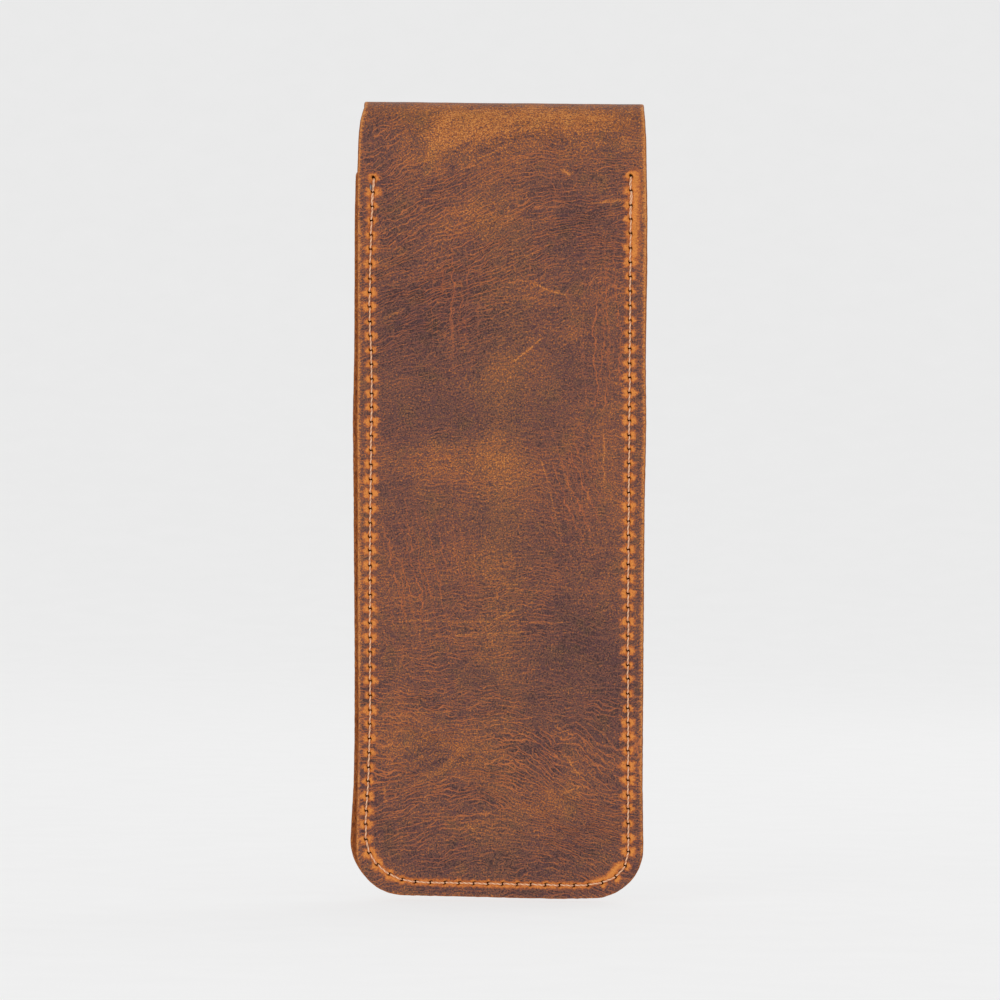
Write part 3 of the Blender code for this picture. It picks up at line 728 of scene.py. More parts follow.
class Nodes:
    """Short names for building one material's node tree."""

    def __init__(self, name):
        self.mat = bpy.data.materials.new(name)
        self.mat.use_nodes = True
        self.tree = self.mat.node_tree
        self.tree.nodes.clear()
        self.out = self.tree.nodes.new("ShaderNodeOutputMaterial")
        self.shader = self.tree.nodes.new("ShaderNodeBsdfPrincipled")
        self.tree.links.new(self.shader.outputs["BSDF"], self.out.inputs["Surface"])

    def add(self, kind, inputs=(), **props):
        """A node with these properties and inputs, which are {socket name or number: value or link}."""
        node = self.tree.nodes.new("ShaderNode" + kind)
        for key, value in props.items():
            setattr(node, key, value)
        for key, value in dict(inputs).items():
            self.put(node.inputs[key], value)
        return node

    def put(self, socket, value):
        if isinstance(value, bpy.types.NodeSocket):
            self.tree.links.new(value, socket)
        else:
            socket.default_value = value

    def attr(self, name, vector=False):
        node = self.add("Attribute", attribute_name=name, attribute_type="GEOMETRY")
        return node.outputs["Vector" if vector else "Fac"]

    def math(self, operation, a, b=0.0, clamp=False):
        return self.add("Math", {0: a, 1: b}, operation=operation, use_clamp=clamp).outputs[0]

    def plus(self, a, b, clamp=False):
        return self.math("ADD", a, b, clamp)

    def minus(self, a, b):
        return self.math("SUBTRACT", a, b)

    def times(self, a, b):
        return self.math("MULTIPLY", a, b)

    def larger(self, a, b):
        return self.math("MAXIMUM", a, b)

    def swing(self, value, weight):
        """How far a value in 0..1 is from a half, times a weight."""
        return self.times(self.minus(value, 0.5), weight)

    def vector(self, operation, a, b):
        return self.add("VectorMath", {0: a, 1: b}, operation=operation).outputs[0]

    def scaled(self, a, factor):
        return self.add("VectorMath", {0: a, "Scale": factor}, operation="SCALE").outputs[0]

    def stretched(self, a, factors):
        return self.vector("MULTIPLY", a, factors)

    def moved(self, a, by):
        return self.vector("ADD", a, by)

    def noise(self, vector, scale, detail, rough=0.5, distortion=0.0, output="Fac"):
        return self.add("TexNoise", {"Vector": vector, "Scale": scale, "Detail": detail, "Roughness": rough,
                                     "Distortion": distortion}, noise_dimensions="3D").outputs[output]

    def wander(self, vector, scale, detail, rough, reach):
        """A smooth displacement in all directions."""
        colour = self.noise(vector, scale, detail, rough, output="Color")
        return self.scaled(self.vector("SUBTRACT", colour, (0.5, 0.5, 0.5)), reach)

    def cells(self, vector, scale, feature="F1", flat=False):
        return self.add("TexVoronoi", {"Vector": vector, "Scale": scale, "Randomness": 1.0}, feature=feature,
                        voronoi_dimensions="2D" if flat else "3D").outputs["Distance"]

    def net_lines(self, place, width):
        """Lines along the borders of flat cells."""
        return self.spread(self.cells(place, 1.0, "DISTANCE_TO_EDGE", flat=True), 0.01, width, 1.0, 0.0)

    def parts(self, vector):
        node = self.add("SeparateXYZ", {0: vector})
        return node.outputs["X"], node.outputs["Y"]

    def spread(self, value, lo, hi, to_lo=0.0, to_hi=1.0):
        """Smooth step from to_lo at lo to to_hi at hi."""
        inputs = {"Value": value, "From Min": lo, "From Max": hi, "To Min": to_lo, "To Max": to_hi}
        return self.add("MapRange", inputs, interpolation_type="SMOOTHSTEP", clamp=True).outputs["Result"]

    def ramp(self, value, stops, dim=1.0):
        """Colour ramp: stops are (place, (r, g, b) in 0..255), each dimmed by the same factor."""
        node = self.add("ValToRGB", {"Fac": value})
        band = node.color_ramp
        stops = [(place, (*(c * dim for c in srgb(*colour)[:3]), 1.0)) for place, colour in stops]
        band.elements[0].position, band.elements[0].color = stops[0]
        band.elements[1].position, band.elements[1].color = stops[-1]
        for place, colour in stops[1:-1]:
            band.elements.new(place).color = colour
        return node.outputs["Color"]

    def mix(self, share, a, b):
        """From colour a to colour b, which may be an (r, g, b) in 0..255."""
        a, b = (srgb(*c) if isinstance(c, tuple) else c for c in (a, b))
        return self.add("Mix", {"Factor": share, 6: a, 7: b}, data_type="RGBA", clamp_factor=True).outputs[2]

    def bump(self, height, strength, distance):
        node = self.add("Bump", {"Height": height, "Strength": strength, "Distance": distance})
        return node.outputs["Normal"]

    def finish(self, **sockets):
        for key, value in sockets.items():
            self.put(self.shader.inputs[key.replace("_", " ")], value)
        return self.mat


def line_set(m, place, pitch, lean, seed, width, drift_scale, gate_scale, gate, drift):
    """Fine wavy lines along x of the given place, a pitch apart, that fade in and out."""
    place = m.moved(place, (seed, seed * 2, 0))
    along, across = m.parts(place)
    sway = m.noise(m.stretched(place, drift_scale), 1.0, 1, 0.4)
    phase = m.plus(m.times(across, pitch), m.times(along, lean))
    fold = m.math("PINGPONG", m.plus(phase, m.times(sway, drift)), 0.5)
    shown = m.spread(m.noise(m.stretched(place, gate_scale), 1.0, 1), *gate)
    return m.times(m.spread(fold, 0.02, width, 1.0, 0.0), shown)


def hide_creases(m, bent):
    """Sets of fine lines that run along the flow of the hide, lean across each other and break off."""
    up = line_set(m, bent, 1.3, 0.15, 3.0, 0.175, (0.09, 0.26, 1), (0.15, 0.8, 1), (0.42, 0.53), 2.0)
    down = line_set(m, bent, 1.1, -0.13, 23.0, 0.16, (0.10, 0.28, 1), (0.15, 0.8, 1), (0.43, 0.55), 2.0)
    lines = m.larger(up, down)
    return m.larger(lines, m.times(m.net_lines(m.stretched(bent, (0.34, 1.15, 1.0)), 0.085), 0.32))


def hide_cracks(m, rest, wander, wander_fine):
    """Lines that stand up the hide, linked by a coarse net. Below the middle they slant."""
    bent = m.moved(rest, m.wander(rest, 0.7, 3, 0.6, 1.7))
    bent = m.moved(bent, m.moved(m.scaled(wander, 0.6), wander_fine))
    x, y = m.parts(bent)
    slant = m.plus(m.times(m.spread(x, 2, 9, 0, 0.45), m.spread(y, 96, 104, 1, 0)),
                   m.times(m.spread(x, -9, -5, 0.2, 0), m.spread(y, 84, 92, 1, 0)))
    upright = m.add("CombineXYZ", {0: y, 1: m.plus(x, m.times(slant, m.minus(y, 86)))}).outputs[0]
    net = m.net_lines(m.stretched(bent, (0.60, 0.30, 1.0)), 0.075)
    long = line_set(m, upright, 0.44, 0.0, 11.0, 0.078, (0.07, 0.14, 1), (0.055, 0.35, 1), (0.38, 0.47), 1.3)
    lines = m.larger(m.times(net, 0.22), long)
    finer = line_set(m, upright, 0.7, 0.0, 31.0, 0.09, (0.08, 0.17, 1), (0.07, 0.4, 1), (0.46, 0.56), 1.5)
    shown = m.spread(m.noise(rest, 0.3, 2), 0.30, 0.46, 0.25, 1.0)
    return m.times(m.times(m.larger(lines, m.times(finer, 0.75)), m.attr("crack")), shown)


def grain_leather(name):
    """Waxed pull-up hide, grain side: dark plum-brown wax, paler and orange where it is bent or rubbed."""
    m = Nodes(name)
    rest = m.attr("rest", True)
    # Wear, and over the top of the fold painted light as well.
    worn = m.attr("worn")
    wander = m.wander(rest, 0.11, 2, 0.5, 4.2)
    wander_fine = m.wander(rest, 0.42, 2, 0.5, 1.05)
    bent = m.moved(m.moved(m.attr("flow", True), wander), wander_fine)
    lines = hide_creases(m, bent)
    patch = m.spread(m.noise(m.stretched(bent, (0.10, 0.24, 1.0)), 1.0, 2), 0.38, 0.60)
    crease = m.times(m.attr("crease"), m.plus(0.5, m.times(patch, 0.6)))
    crease_lines = m.times(lines, crease)
    split = hide_cracks(m, rest, wander, wander_fine)

    def afar(x, y, z):
        """The same hide's place moved away, so that two noises of one scale differ."""
        return m.moved(rest, (x, y, z))

    rib = m.noise(m.stretched(bent, (0.20, 1.3, 1.0)), 1.0, 2)
    pebble = m.cells(m.moved(rest, m.scaled(wander_fine, 0.3)), 2.3)
    pore = m.noise(rest, 2.3, 2, 0.6)
    fleck = m.noise(rest, 3.6, 1)
    cloud = m.noise(afar(40, 0, 0), 0.085, 4, 0.6, 0.4)
    mottle = m.noise(rest, 0.42, 3, 0.6)
    # the lines show pale on the wax and dark where it is worn
    pale = m.spread(worn, 0.2, 0.65, 1.0, -0.35)
    speck = m.times(m.spread(m.cells(afar(9, 5, 0), 1.25), 0.03, 0.17, 1.0, 0.0),
                    m.spread(m.noise(rest, 0.6, 2, 0.6), 0.44, 0.6))
    edge = m.times(m.attr("edge"), m.spread(m.noise(rest, 0.7, 2), 0.25, 0.6, 0.45, 1.0))

    # tone runs from 0, full of wax, to 1, worn bare
    tone = m.plus(m.minus(0.40, m.times(crease, 0.21)), m.times(m.math("MINIMUM", worn, 0.95), 0.62))
    for part, weight in ((cloud, 0.50), (mottle, 0.26), (pore, 0.95), (fleck, 1.42), (pebble, -0.36)):
        tone = m.plus(tone, m.swing(part, weight))
    tone = m.plus(tone, m.times(m.minus(rib, 0.5), m.times(crease, 0.4)))
    tone = m.plus(tone, m.times(m.times(crease_lines, 0.6), pale))
    for part, weight in ((speck, 0.32), (split, 0.36), (m.attr("mark"), 0.62)):
        tone = m.plus(tone, m.times(part, weight))
    tone = m.plus(tone, m.times(edge, 0.80), clamp=True)
    colour = m.ramp(tone, [(0.0, (68, 43, 45)), (0.2, (101, 67, 63)), (0.38, (120, 79, 69)),
                           (0.55, (145, 90, 64)), (0.72, (181, 106, 58)), (0.88, (206, 122, 58)),
                           (1.0, (226, 150, 82))])

    olive = m.spread(m.noise(afar(0, 70, 0), 0.16, 3, 0.6), 0.5, 0.72, 0.0, 0.45)
    x, y = m.parts(rest)
    middle = m.times(m.spread(m.math("ABSOLUTE", m.plus(x, m.swing(cloud, 12))), 1.5, 8.0, 0.22, 0.0),
                     m.spread(y, 140, 156, 1, 0))
    olive = m.times(m.larger(olive, middle), m.spread(tone, 0.5, 0.8, 1.0, 0.3))
    olive_colour = m.ramp(tone, [(0.0, (62, 46, 36)), (0.4, (120, 86, 58)), (1.0, (196, 144, 78))])
    colour = m.mix(olive, colour, olive_colour)
    plum = m.spread(m.noise(afar(0, 0, 90), 0.55, 3, 0.65), 0.46, 0.66, 0.0, 0.45)
    colour = m.mix(m.times(plum, m.spread(tone, 0.3, 0.62, 1.0, 0.0)), colour, (98, 62, 67))
    moss = m.times(m.spread(m.noise(afar(60, 0, 0), 2.6, 2, 0.6), 0.54, 0.72, 0.0, 0.42),
                   m.spread(tone, 0.55, 0.85, 1.0, 0.5))
    moss_colour = m.ramp(tone, [(0.0, (84, 70, 48)), (0.4, (132, 104, 62)), (1.0, (196, 150, 84))])
    colour = m.mix(moss, colour, moss_colour)
    rust = m.plus(m.times(crease_lines, m.larger(pale, 0.0)), m.times(split, 1.2), clamp=True)
    colour = m.mix(m.times(rust, 0.82), colour, (194, 109, 70))
    halo = m.plus(m.attr("halo"), m.swing(m.noise(rest, 1.7, 3, 0.7), 1.25))
    core = m.spread(m.plus(halo, m.swing(fleck, 0.9)), 0.40, 0.95)
    halo_colour = m.mix(core, (196, 107, 54), (246, 155, 71))
    colour = m.mix(m.times(m.spread(halo, 0.16, 0.60), 0.94), colour, halo_colour)
    # Needle holes painted near black: painted shade in the holes.
    colour = m.mix(m.attr("painted_pit_shade"), colour, (20, 9, 8))

    height = m.times(m.plus(rib, m.times(lines, 0.35)), crease)
    for part, weight in ((pebble, -0.30), (pore, 0.4), (split, -0.45), (fleck, 0.25)):
        height = m.plus(height, m.times(part, weight))
    rough = m.plus(m.plus(0.50, m.swing(mottle, 0.3)), m.times(tone, 0.12))
    normal = m.bump(height, 0.8, 0.00028)
    return m.finish(Base_Color=colour, Roughness=rough, Normal=normal, Specular_IOR_Level=0.26)


def edge_leather(name):
    """Cut edge of the hide: pressed fibres, burnished orange-brown with darker streaks."""
    m = Nodes(name)
    rest = m.attr("rest", True)
    fibre = m.noise(m.stretched(rest, (1.6, 1.6, 5.0)), 1.0, 4, 0.65, 0.3)
    streak = m.noise(m.stretched(rest, (0.5, 0.5, 3.0)), 1.0, 3, 0.6)
    colour = m.ramp(fibre, [(0.28, (84, 40, 22)), (0.45, (152, 82, 38)), (0.6, (190, 112, 50)),
                            (0.8, (222, 150, 76))])
    colour = m.mix(m.spread(streak, 0.5, 0.72, 0.0, 0.7), colour, (88, 42, 26))
    normal = m.bump(m.plus(fibre, m.times(m.noise(rest, 6.0, 3, 0.7), 0.6)), 0.7, 0.00018)
    return m.finish(Base_Color=colour, Roughness=0.72, Normal=normal, Specular_IOR_Level=0.25)


def flesh_leather(name):
    """Flesh side of the hide: brushed, fibrous and dull."""
    m = Nodes(name)
    rest = m.attr("rest", True)
    nap = m.noise(m.stretched(rest, (2.2, 1.4, 1.0)), 1.6, 4, 0.7, 0.6)
    tone = m.plus(m.times(nap, 0.6), m.times(m.noise(rest, 0.14, 3, 0.6), 0.4))
    colour = m.ramp(tone, [(0.3, (116, 76, 50)), (0.5, (160, 112, 76)), (0.72, (196, 148, 106))])
    burnt = m.ramp(m.noise(m.stretched(rest, (2.6, 0.8, 1.0)), 1.0, 3, 0.6),
                   [(0.32, (92, 42, 22)), (0.5, (160, 84, 38)), (0.7, (196, 116, 54))])
    colour = m.mix(m.attr("burn"), colour, burnt)
    return m.finish(Base_Color=colour, Roughness=0.92, Normal=m.bump(nap, 0.8, 0.0003), Specular_IOR_Level=0.15,
                    Sheen_Weight=0.2, Sheen_Roughness=0.5)


def thread_material(name, low, middle, high):
    """Waxed twisted thread."""
    m = Nodes(name)
    lay = m.attr("lay", True)
    ply = m.add("TexWave", {"Vector": lay, "Scale": 0.55, "Distortion": 0.6}, wave_type="BANDS",
                bands_direction="DIAGONAL", wave_profile="SIN")
    # The helical bands are painted shade, darker in the grooves between the plies; the noise is the thread's own
    # uneven tone.
    ply_shade_and_tone = m.plus(m.times(ply.outputs["Fac"], 0.6), m.times(m.noise(lay, 3.0, 3, 0.6), 0.4))
    return m.finish(Base_Color=m.ramp(ply_shade_and_tone, [(0.1, low), (0.45, middle), (0.85, high)]), Roughness=0.62,
                    Normal=m.bump(ply_shade_and_tone, 0.5, 0.00006), Specular_IOR_Level=0.12, Sheen_Weight=0.05)


def metal_place(m):
    """Place on the object, in millimetres."""
    return m.scaled(m.add("TexCoord").outputs["Object"], 1000.0)


def old_brass(name, dim=1.0):
    """Antique brass: toned in its hollows, rubbed bright on its high parts, finely scratched."""
    m = Nodes(name)
    where = metal_place(m)
    spots = m.noise(where, 3.5, 3, 0.6)
    scratch = m.noise(m.stretched(where, (9.0, 1.0, 0.8)), 1.0, 3, 0.6)
    tone = m.plus(m.times(m.noise(where, 0.8, 4, 0.65), 0.7), m.times(m.attr("rub"), 0.5))
    tone = m.plus(tone, m.swing(spots, 0.3), clamp=True)
    colour = m.ramp(tone, [(0.2, (62, 46, 28)), (0.45, (112, 86, 50)), (0.7, (168, 136, 84)),
                           (0.95, (206, 178, 124))], dim)
    rough = m.plus(m.plus(0.30, m.times(m.minus(1.0, tone), 0.28)), m.swing(scratch, 0.2))
    normal = m.bump(m.plus(m.times(scratch, 0.5), spots), 0.25, 0.00005)
    return m.finish(Base_Color=colour, Metallic=1.0, Roughness=rough, Normal=normal)


def spring_wire(name):
    m = Nodes(name)
    drawn = m.noise(m.stretched(metal_place(m), (1.0, 6.0, 1.0)), 1.2, 3, 0.6)
    return m.finish(Base_Color=m.ramp(drawn, [(0.3, (120, 120, 122)), (0.7, (184, 184, 186))]), Metallic=1.0,
                    Roughness=m.spread(drawn, 0.3, 0.7, 0.25, 0.42), Normal=m.bump(drawn, 0.3, 0.00004))


# ---------------------------------------------------------------- leather pieces
GRAIN, EDGE, FLESH = grain_leather("hide_grain"), edge_leather("hide_edge"), flesh_leather("hide_flesh")
FINE, FLAP_FINE, FRONT_FINE = 0.62, 0.66, 0.75          # spacing of the loose points away from the seam


def stand_for(obj, slot, *nodes):
    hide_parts(*nodes)


def hide_part(name, span, ends, grid):
    return build_hide(name, span, ends, HIDE_SIDES, place_hide, hide_relief, hide_fields, grid)


back = hide_part("back_hide", (0.0, SPLITS[0]), (BACK_CORNERS, None),
                 sewn_grid(BEYOND, -1, SPLITS[0] + 1, FINE, scratched=True))
stand_for(back, "hide_back", "back_panel")
folds = []
for number, (low, high, nodes) in enumerate(zip(SPLITS[:-1], SPLITS[1:], (
        ("fold_strip_1", "fold_strip_2"), ("fold_strip_3",))), 1):
    grid = plain_grid(low - 1, high + 1, FINE)
    folds.append(hide_part(f"fold_hide_{number}", (low, high), (None, None), grid))
    stand_for(folds[-1], "hide_fold", *nodes)
flap = hide_part("flap_hide", (SPLITS[-1], S_END), (None, FLAP_CORNERS),
                 plain_grid(SPLITS[-1] - 1, S_END + 1, FLAP_FINE))
stand_for(flap, "hide_flap", "flap_panel")
front = build_hide("front_hide", (0.0, MOUTH_Z), (FRONT_CORNERS, MOUTH_CORNERS), FRONT_SIDES, place_front,
                   front_relief, front_fields, sewn_grid(BEYOND + 1, -1, MOUTH_Z + 1, FRONT_FINE), flip=True,
                   shift=300.0)
stand_for(front, "hide_front", "front_panel")


CHAIN = ("case", "fold_1", "fold_2", "fold_3", "flap")
HINGE_ANGLES = (157.5, 112.5, 67.5, 22.5)
for piece, first, second, angle in zip([back, *folds, flap], CHAIN[:-1], CHAIN[1:], HINGE_ANGLES):
    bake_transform(piece)
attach(front, "case")


# ---------------------------------------------------------------- threads
THREAD_R = 0.185
THREAD_LIFT, EXTRA_LIFT = 0.06, 0.2            # height of a stitch, and of one sewn over another
HOLE_DIP = 0.95                                # how deep a stitch dives into its needle holes
LOOSE_STEPS, LOOSE_SIDES = 10, 9
LOOSE_FACES = (LOOSE_STEPS - 1) * LOOSE_SIDES + 2


def tube(paths, name, *materials, sides=LOOSE_SIDES, ply=0.0, pitch=0.9):
    """Tubes along paths of (points, outward directions, radii) in one mesh, each closed at both ends."""
    verts, faces, lay = [], [], []
    for number, (points, outs, radii) in enumerate(paths):
        points = np.asarray(points, float)
        tangent = np.gradient(points, axis=0)
        tangent /= np.linalg.norm(tangent, axis=1)[:, None]
        run = np.concatenate([[0], np.cumsum(np.linalg.norm(np.diff(points, axis=0), axis=1))]) / MM
        side = np.cross(tangent, outs)
        side /= np.linalg.norm(side, axis=1)[:, None]
        up = np.cross(side, tangent)
        first = len(verts)
        for i, (p, u, v, r) in enumerate(zip(points, side, up, radii)):
            for j in range(sides):
                t = 2 * math.pi * j / sides
                twist = 1 + ply * math.cos(2 * t - 2 * math.pi * run[i] / pitch)
                verts.append(p + (u * math.cos(t) + v * math.sin(t)) * r * twist)
                lay.append((run[i] + number * 5.1, t * 0.45, number * 0.7))
        for i in range(len(points) - 1):
            for j in range(sides):
                k = (j + 1) % sides
                a, b = first + i * sides, first + (i + 1) * sides
                faces.append((a + j, a + k, b + k, b + j))
        faces.append(tuple(first + j for j in reversed(range(sides))))
        last = first + (len(points) - 1) * sides
        faces.append(tuple(last + j for j in range(sides)))
    mesh = bpy.data.meshes.new(name)
    mesh.from_pydata([tuple(v) for v in verts], [], faces)
    point_field(mesh, "lay", lay)
    return add_object(name, mesh, *materials)


def seam_point(x, s, n, side):
    """Point over the flat sewn border: the back's grain side, or the front's."""
    depth = n if side == "back" else 2 * HIDE + GAP - n
    return (MID_X + x * MM, BACK_Y + depth * MM, s * MM)


def seam_path(points, side, radii):
    """A path for tube(), with the outward direction of that side."""
    out = np.array([0, -1.0 if side == "back" else 1.0, 0])
    return points, np.tile(out, (len(points), 1)), radii * MM


def stitches(side):
    """Each stitch rises out of one needle hole, lies in the seam's groove and dives into the next."""
    draw = np.random.default_rng(31 if side == "back" else 32)
    paths = []
    share = np.concatenate([np.linspace(0, 0.16, 5), np.linspace(0.2, 0.8, 12), np.linspace(0.84, 1, 5)])

    def one(h0, h1, offset, lift, thin=1.0):
        (x0, s0), (x1, s1) = h0, h1
        length = math.hypot(x1 - x0, s1 - s0)
        ux, us = (x1 - x0) / length, (s1 - s0) / length
        slant = 0.06 + draw.normal(0, 0.02)
        points = []
        for t in share:
            dip = 1 - ramp01(np.array([min(t, 1 - t)]), 0.0, 0.11)[0]
            across = slant * (0.5 - t) * 2 + offset * math.sin(math.pi * t)
            n = 0.03 - lift + HOLE_DIP * dip + 0.02 * math.sin(9 * t + s0)
            inset = 0.24 * dip * (1 if t < 0.5 else -1)
            points.append(seam_point(x0 + ux * (length * t + inset) - us * across,
                                     s0 + us * (length * t + inset) + ux * across, n, side))
        radius = THREAD_R * thin * (1 + draw.normal(0, 0.03))
        paths.append(seam_path(points, side, np.full(len(points), radius)))

    for a, b in zip(HOLES[:-1], HOLES[1:]):
        one(a[:2], b[:2], draw.normal(0, 0.03), THREAD_LIFT + draw.normal(0, 0.015))
    last = len(HOLES) - 1
    # stitches sewn twice where the seam starts and ends: (hole, next hole, bow to the side)
    for i, j, bow in ((0, 1, 0.17), (1, 2, -0.14), (last - 1, last, 0.2), (last - 2, last - 1, -0.2),
                      (last - 3, last - 2, 0.15)):
        one(HOLES[i, :2], HOLES[j, :2], bow, EXTRA_LIFT, 0.92)
    return paths


def loose_end(side):
    """The melted stub of thread beside the first stitch."""
    t = np.linspace(0, 1, LOOSE_STEPS)
    points = [seam_point(HOLES[0, 0] - 0.42 - 0.3 * k, HOLES[0, 1] - 2.75 + 1.5 * k,
                         0.02 - 0.12 * math.sin(math.pi * k), side) for k in t]
    return seam_path(points, side, 0.06 + 0.2 * np.sin(math.pi * t) ** 0.6)


THREAD = thread_material("seam_thread", (194, 118, 84), (248, 180, 134), (255, 218, 182))
MELTED = thread_material("seam_thread_melted", (52, 46, 52), (112, 104, 108), (168, 160, 160))
for side, node in (("back", "thread_back"), ("front", "thread_front")):
    seam = tube(stitches(side) + [loose_end(side)], "seam_" + side, THREAD, MELTED, ply=0.05)
    for face in list(seam.data.polygons)[-LOOSE_FACES:]:
        face.material_index = 1
    stand_for(seam, "thread", node)
    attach(seam, "case")


# ---------------------------------------------------------------- press stud
def turned(name, material, profile, rub=None, sides=96):
    """Piece turned about the stud's axis from (radius, depth from the back face) points: open, or a loop."""
    rub = rub or [0.4] * len(profile)
    verts, rows, shine = [], [], []
    for (radius, depth), bright in zip(profile, rub):
        count = 1 if radius == 0 else sides
        rows.append([len(verts) + (j if count > 1 else 0) for j in range(sides)])
        for j in range(count):
            t = 2 * math.pi * j / sides
            verts.append((SNAP_X + radius * math.cos(t) * MM, BACK_Y + depth * MM,
                          (SNAP_Z + radius * math.sin(t)) * MM))
            shine.append(bright)
    pairs = list(zip(rows, rows[1:]))
    if profile[0][0] != 0:
        pairs.append((rows[-1], rows[0]))
    faces = []
    for low, high in pairs:
        for j in range(sides):
            k = (j + 1) % sides
            corners = tuple(dict.fromkeys([low[j], low[k], high[k], high[j]]))
            if len(corners) > 2:
                faces.append(corners)
    mesh = bpy.data.meshes.new(name)
    mesh.from_pydata(verts, [], faces)
    bm = bmesh.new()
    bm.from_mesh(mesh)
    bmesh.ops.recalc_face_normals(bm, faces=bm.faces)
    bm.to_mesh(mesh)
    bm.free()
    point_field(mesh, "rub", shine)
    return add_object(name, mesh, material)


def rounded_profile(points, radius=0.12, steps=3):
    """Softens each corner of a profile with a short curve."""
    out = []
    for i, p in enumerate(points):
        a, b = points[i - 1], points[(i + 1) % len(points)]
        if p[0] == 0 or i in (0, len(points) - 1):
            out.append(p)
            continue
        la, lb = math.hypot(a[0] - p[0], a[1] - p[1]), math.hypot(b[0] - p[0], b[1] - p[1])
        r = min(radius, la * 0.4, lb * 0.4)
        pa = (p[0] + (a[0] - p[0]) / la * r, p[1] + (a[1] - p[1]) / la * r)
        pb = (p[0] + (b[0] - p[0]) / lb * r, p[1] + (b[1] - p[1]) / lb * r)
        for k in range(steps + 1):
            t = k / steps
            out.append(((1 - t) ** 2 * pa[0] + 2 * t * (1 - t) * p[0] + t * t * pb[0],
                        (1 - t) ** 2 * pa[1] + 2 * t * (1 - t) * p[1] + t * t * pb[1]))
    return out


BRASS, BRASS_DARK = old_brass("stud_brass"), old_brass("stud_brass_inner", 0.7)
WIRE = spring_wire("stud_wire")
# Depths from the back face where the stud's pieces sit
flap_in, flap_out = 2 * FOLD_R - HIDE, 2 * FOLD_R
front_out = 2 * HIDE + GAP + BULGE
rim = flap_out + 0.12
crown = flap_out + 2.2
foot = front_out + 0.1
base = front_out - HIDE - 0.08
cap_profile = [(0, crown), (1.2, crown - 0.03), (2.4, crown - 0.12), (3.4, crown - 0.28), (4.3, crown - 0.50),
               (4.75, crown - 0.66), (4.9, crown - 0.80), (5.05, crown - 0.72), (5.4, crown - 0.78),
               (5.8, crown - 1.0), (6.1, crown - 1.35), (6.25, crown - 1.75), (6.1, rim), (5.7, rim + 0.02),
               (1.6, rim), (1.6, flap_in - 0.5), (1.4, flap_in - 0.68), (0, flap_in - 0.70)]
cap_rub = [0.55, 0.55, 0.5, 0.45, 0.4, 0.25, 0.0, 0.35, 0.7, 0.75, 0.6, 0.35, 0.1, 0.1, 0.1, 0.1, 0.2, 0.2]
cap = turned("stud_cap", BRASS, cap_profile, cap_rub)
socket = turned("stud_socket", BRASS, rounded_profile([
    (1.9, flap_in - 0.1), (5.1, flap_in - 0.1), (5.2, flap_in - 0.4), (5.05, flap_in - 0.75),
    (4.5, flap_in - 0.9), (4.2, flap_in - 1.3), (4.1, flap_in - 2.6), (3.8, flap_in - 2.88), (2.6, flap_in - 2.88),
    (2.35, flap_in - 2.7), (2.35, flap_in - 2.4), (2.95, flap_in - 2.4), (2.95, flap_in - 1.4),
    (2.35, flap_in - 1.4), (2.35, flap_in - 0.9), (1.9, flap_in - 0.9)]))
RING_R, RING_WIRE_R, RING_STEPS = 2.4, 0.2, 90
ring_points = [(SNAP_X + RING_R * math.cos(math.radians(t)) * MM, BACK_Y + (flap_in - 1.9) * MM,
                (SNAP_Z + RING_R * math.sin(math.radians(t))) * MM) for t in np.linspace(20, 340, RING_STEPS)]
ring_path = seam_path(ring_points, "back", np.full(RING_STEPS, RING_WIRE_R))
ring = tube([ring_path], "stud_spring_ring", WIRE, sides=14)
stud = turned("stud_stud", BRASS, rounded_profile([
    (0, foot + 2.9), (0.9, foot + 2.85), (1.5, foot + 2.62), (1.8, foot + 2.3), (1.8, foot + 2.0),
    (1.5, foot + 1.6), (1.5, foot + 1.0), (2.0, foot + 0.65), (2.9, foot + 0.6), (3.1, foot + 0.48),
    (3.8, foot + 0.5), (4.1, foot + 0.3), (3.95, foot + 0.02), (1.1, foot), (1.1, foot + 2.1),
    (0, foot + 2.1)], 0.1))
post = turned("stud_post", BRASS_DARK, rounded_profile([
    (0, base - 0.62), (2.6, base - 0.58), (3.0, base - 0.66), (3.6, base - 0.6), (4.3, base - 0.36),
    (4.4, base - 0.15), (4.3, base), (0.8, base), (0.8, foot + 1.7), (0.6, foot + 1.8), (0, foot + 1.8)], 0.1))
for piece, node, body, slot in ((cap, "snap_cap", "flap", "aged_brass"),
                                (socket, "snap_socket", "flap", "aged_brass"),
                                (ring, "snap_spring_ring", "flap", "spring_steel"),
                                (stud, "snap_stud", "case", "aged_brass"),
                                (post, "snap_post", "case", "aged_brass")):
    stand_for(piece, slot, node)
    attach(piece, body)


# ---------------------------------------------------------------- floor, light and camera
def stage_material():
    m = Nodes("pale_floor")
    speck = m.noise(m.add("TexCoord").outputs["Object"], 60.0, 3)
    return m.finish(Base_Color=m.ramp(speck, [(0.3, (116, 116, 116)), (0.7, (120, 120, 120))]), Roughness=0.9,
                    Specular_IOR_Level=0.1, Emission_Color=(1, 1, 1, 1), Emission_Strength=0.71)


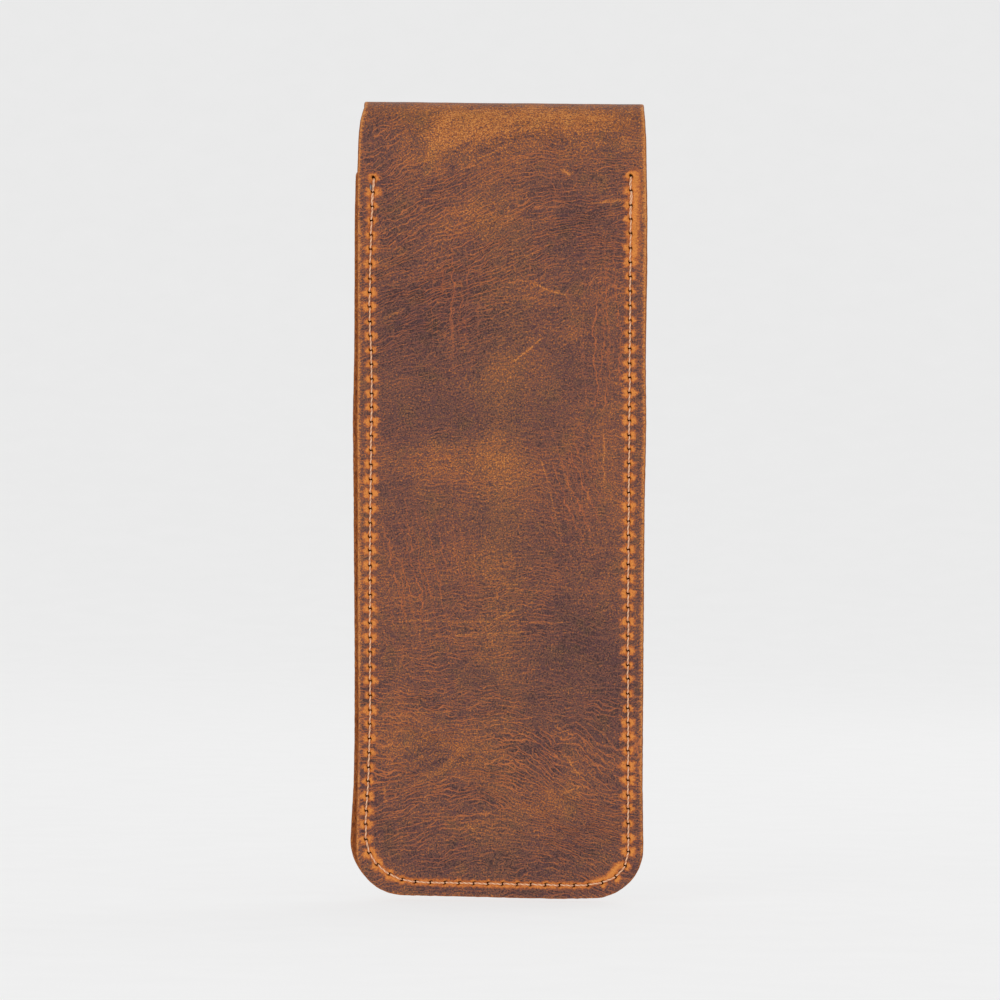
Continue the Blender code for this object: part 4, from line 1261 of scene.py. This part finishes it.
def sweep_floor():
    """Floor that curves up into a backdrop far behind."""
    half, front_edge, flat_to, radius, top = 5.0, -4.0, 1.6, 1.2, 4.5      # metres
    steps = 12
    turns = [math.pi / 2 * k / steps for k in range(steps + 1)]
    curve = [(flat_to + radius * math.sin(t), radius - radius * math.cos(t)) for t in turns]
    profile = [(front_edge, 0.0), *curve, (flat_to + radius, top)]
    verts = [(x, y, z - 0.0004) for y, z in profile for x in (-half, half)]
    mesh = bpy.data.meshes.new("floor")
    mesh.from_pydata(verts, [], [(i, i + 1, i + 3, i + 2) for i in range(0, 2 * len(profile) - 2, 2)])
    return add_object("floor", mesh, stage_material())


sweep_floor()
scene = bpy.context.scene
scene.view_settings.view_transform = "Standard"
scene.view_settings.look = "None"
scene.view_settings.exposure = 0.0
scene.view_settings.gamma = 1.0
world = bpy.data.worlds.new("studio")
scene.world = world
world.use_nodes = True
world.node_tree.nodes["Background"].inputs["Color"].default_value = (0.831, 0.831, 0.831, 1)
world.node_tree.nodes["Background"].inputs["Strength"].default_value = 0.6


def softbox(name, place, width, power):
    """Square area light that looks at the middle of the case."""
    light = bpy.data.lights.new(name, "AREA")
    light.shape = "RECTANGLE"
    light.size = light.size_y = width
    light.energy = power
    obj = bpy.data.objects.new(name, light)
    scene.collection.objects.link(obj)
    obj.location = place
    obj.rotation_euler = (Vector((0, 0, 0.084)) - Vector(place)).to_track_quat("-Z", "Y").to_euler()


softbox("key", (-0.55, -0.9, 0.75), 0.7, 2.6)
softbox("fill", (0.8, -0.8, 0.35), 0.8, 1.0)
softbox("back_key", (0.6, 0.9, 0.8), 0.7, 2.6)

SHOWN_WIDTH = 0.2103          # width of the picture at the back panel, metres
LENS, SENSOR = 250.0, 36.0
ROLL = math.radians(0.47)
camera = bpy.data.cameras.new("camera")
camera.lens, camera.sensor_width = LENS, SENSOR
camera.clip_start, camera.clip_end = 0.05, 50.0
camera_object = bpy.data.objects.new("camera", camera)
scene.collection.objects.link(camera_object)
camera_object.location = (MID_X - 0.00015, BACK_Y - SHOWN_WIDTH * LENS / SENSOR, 0.08402)
camera_object.rotation_euler = (math.pi / 2, -ROLL, 0)
scene.camera = camera_object
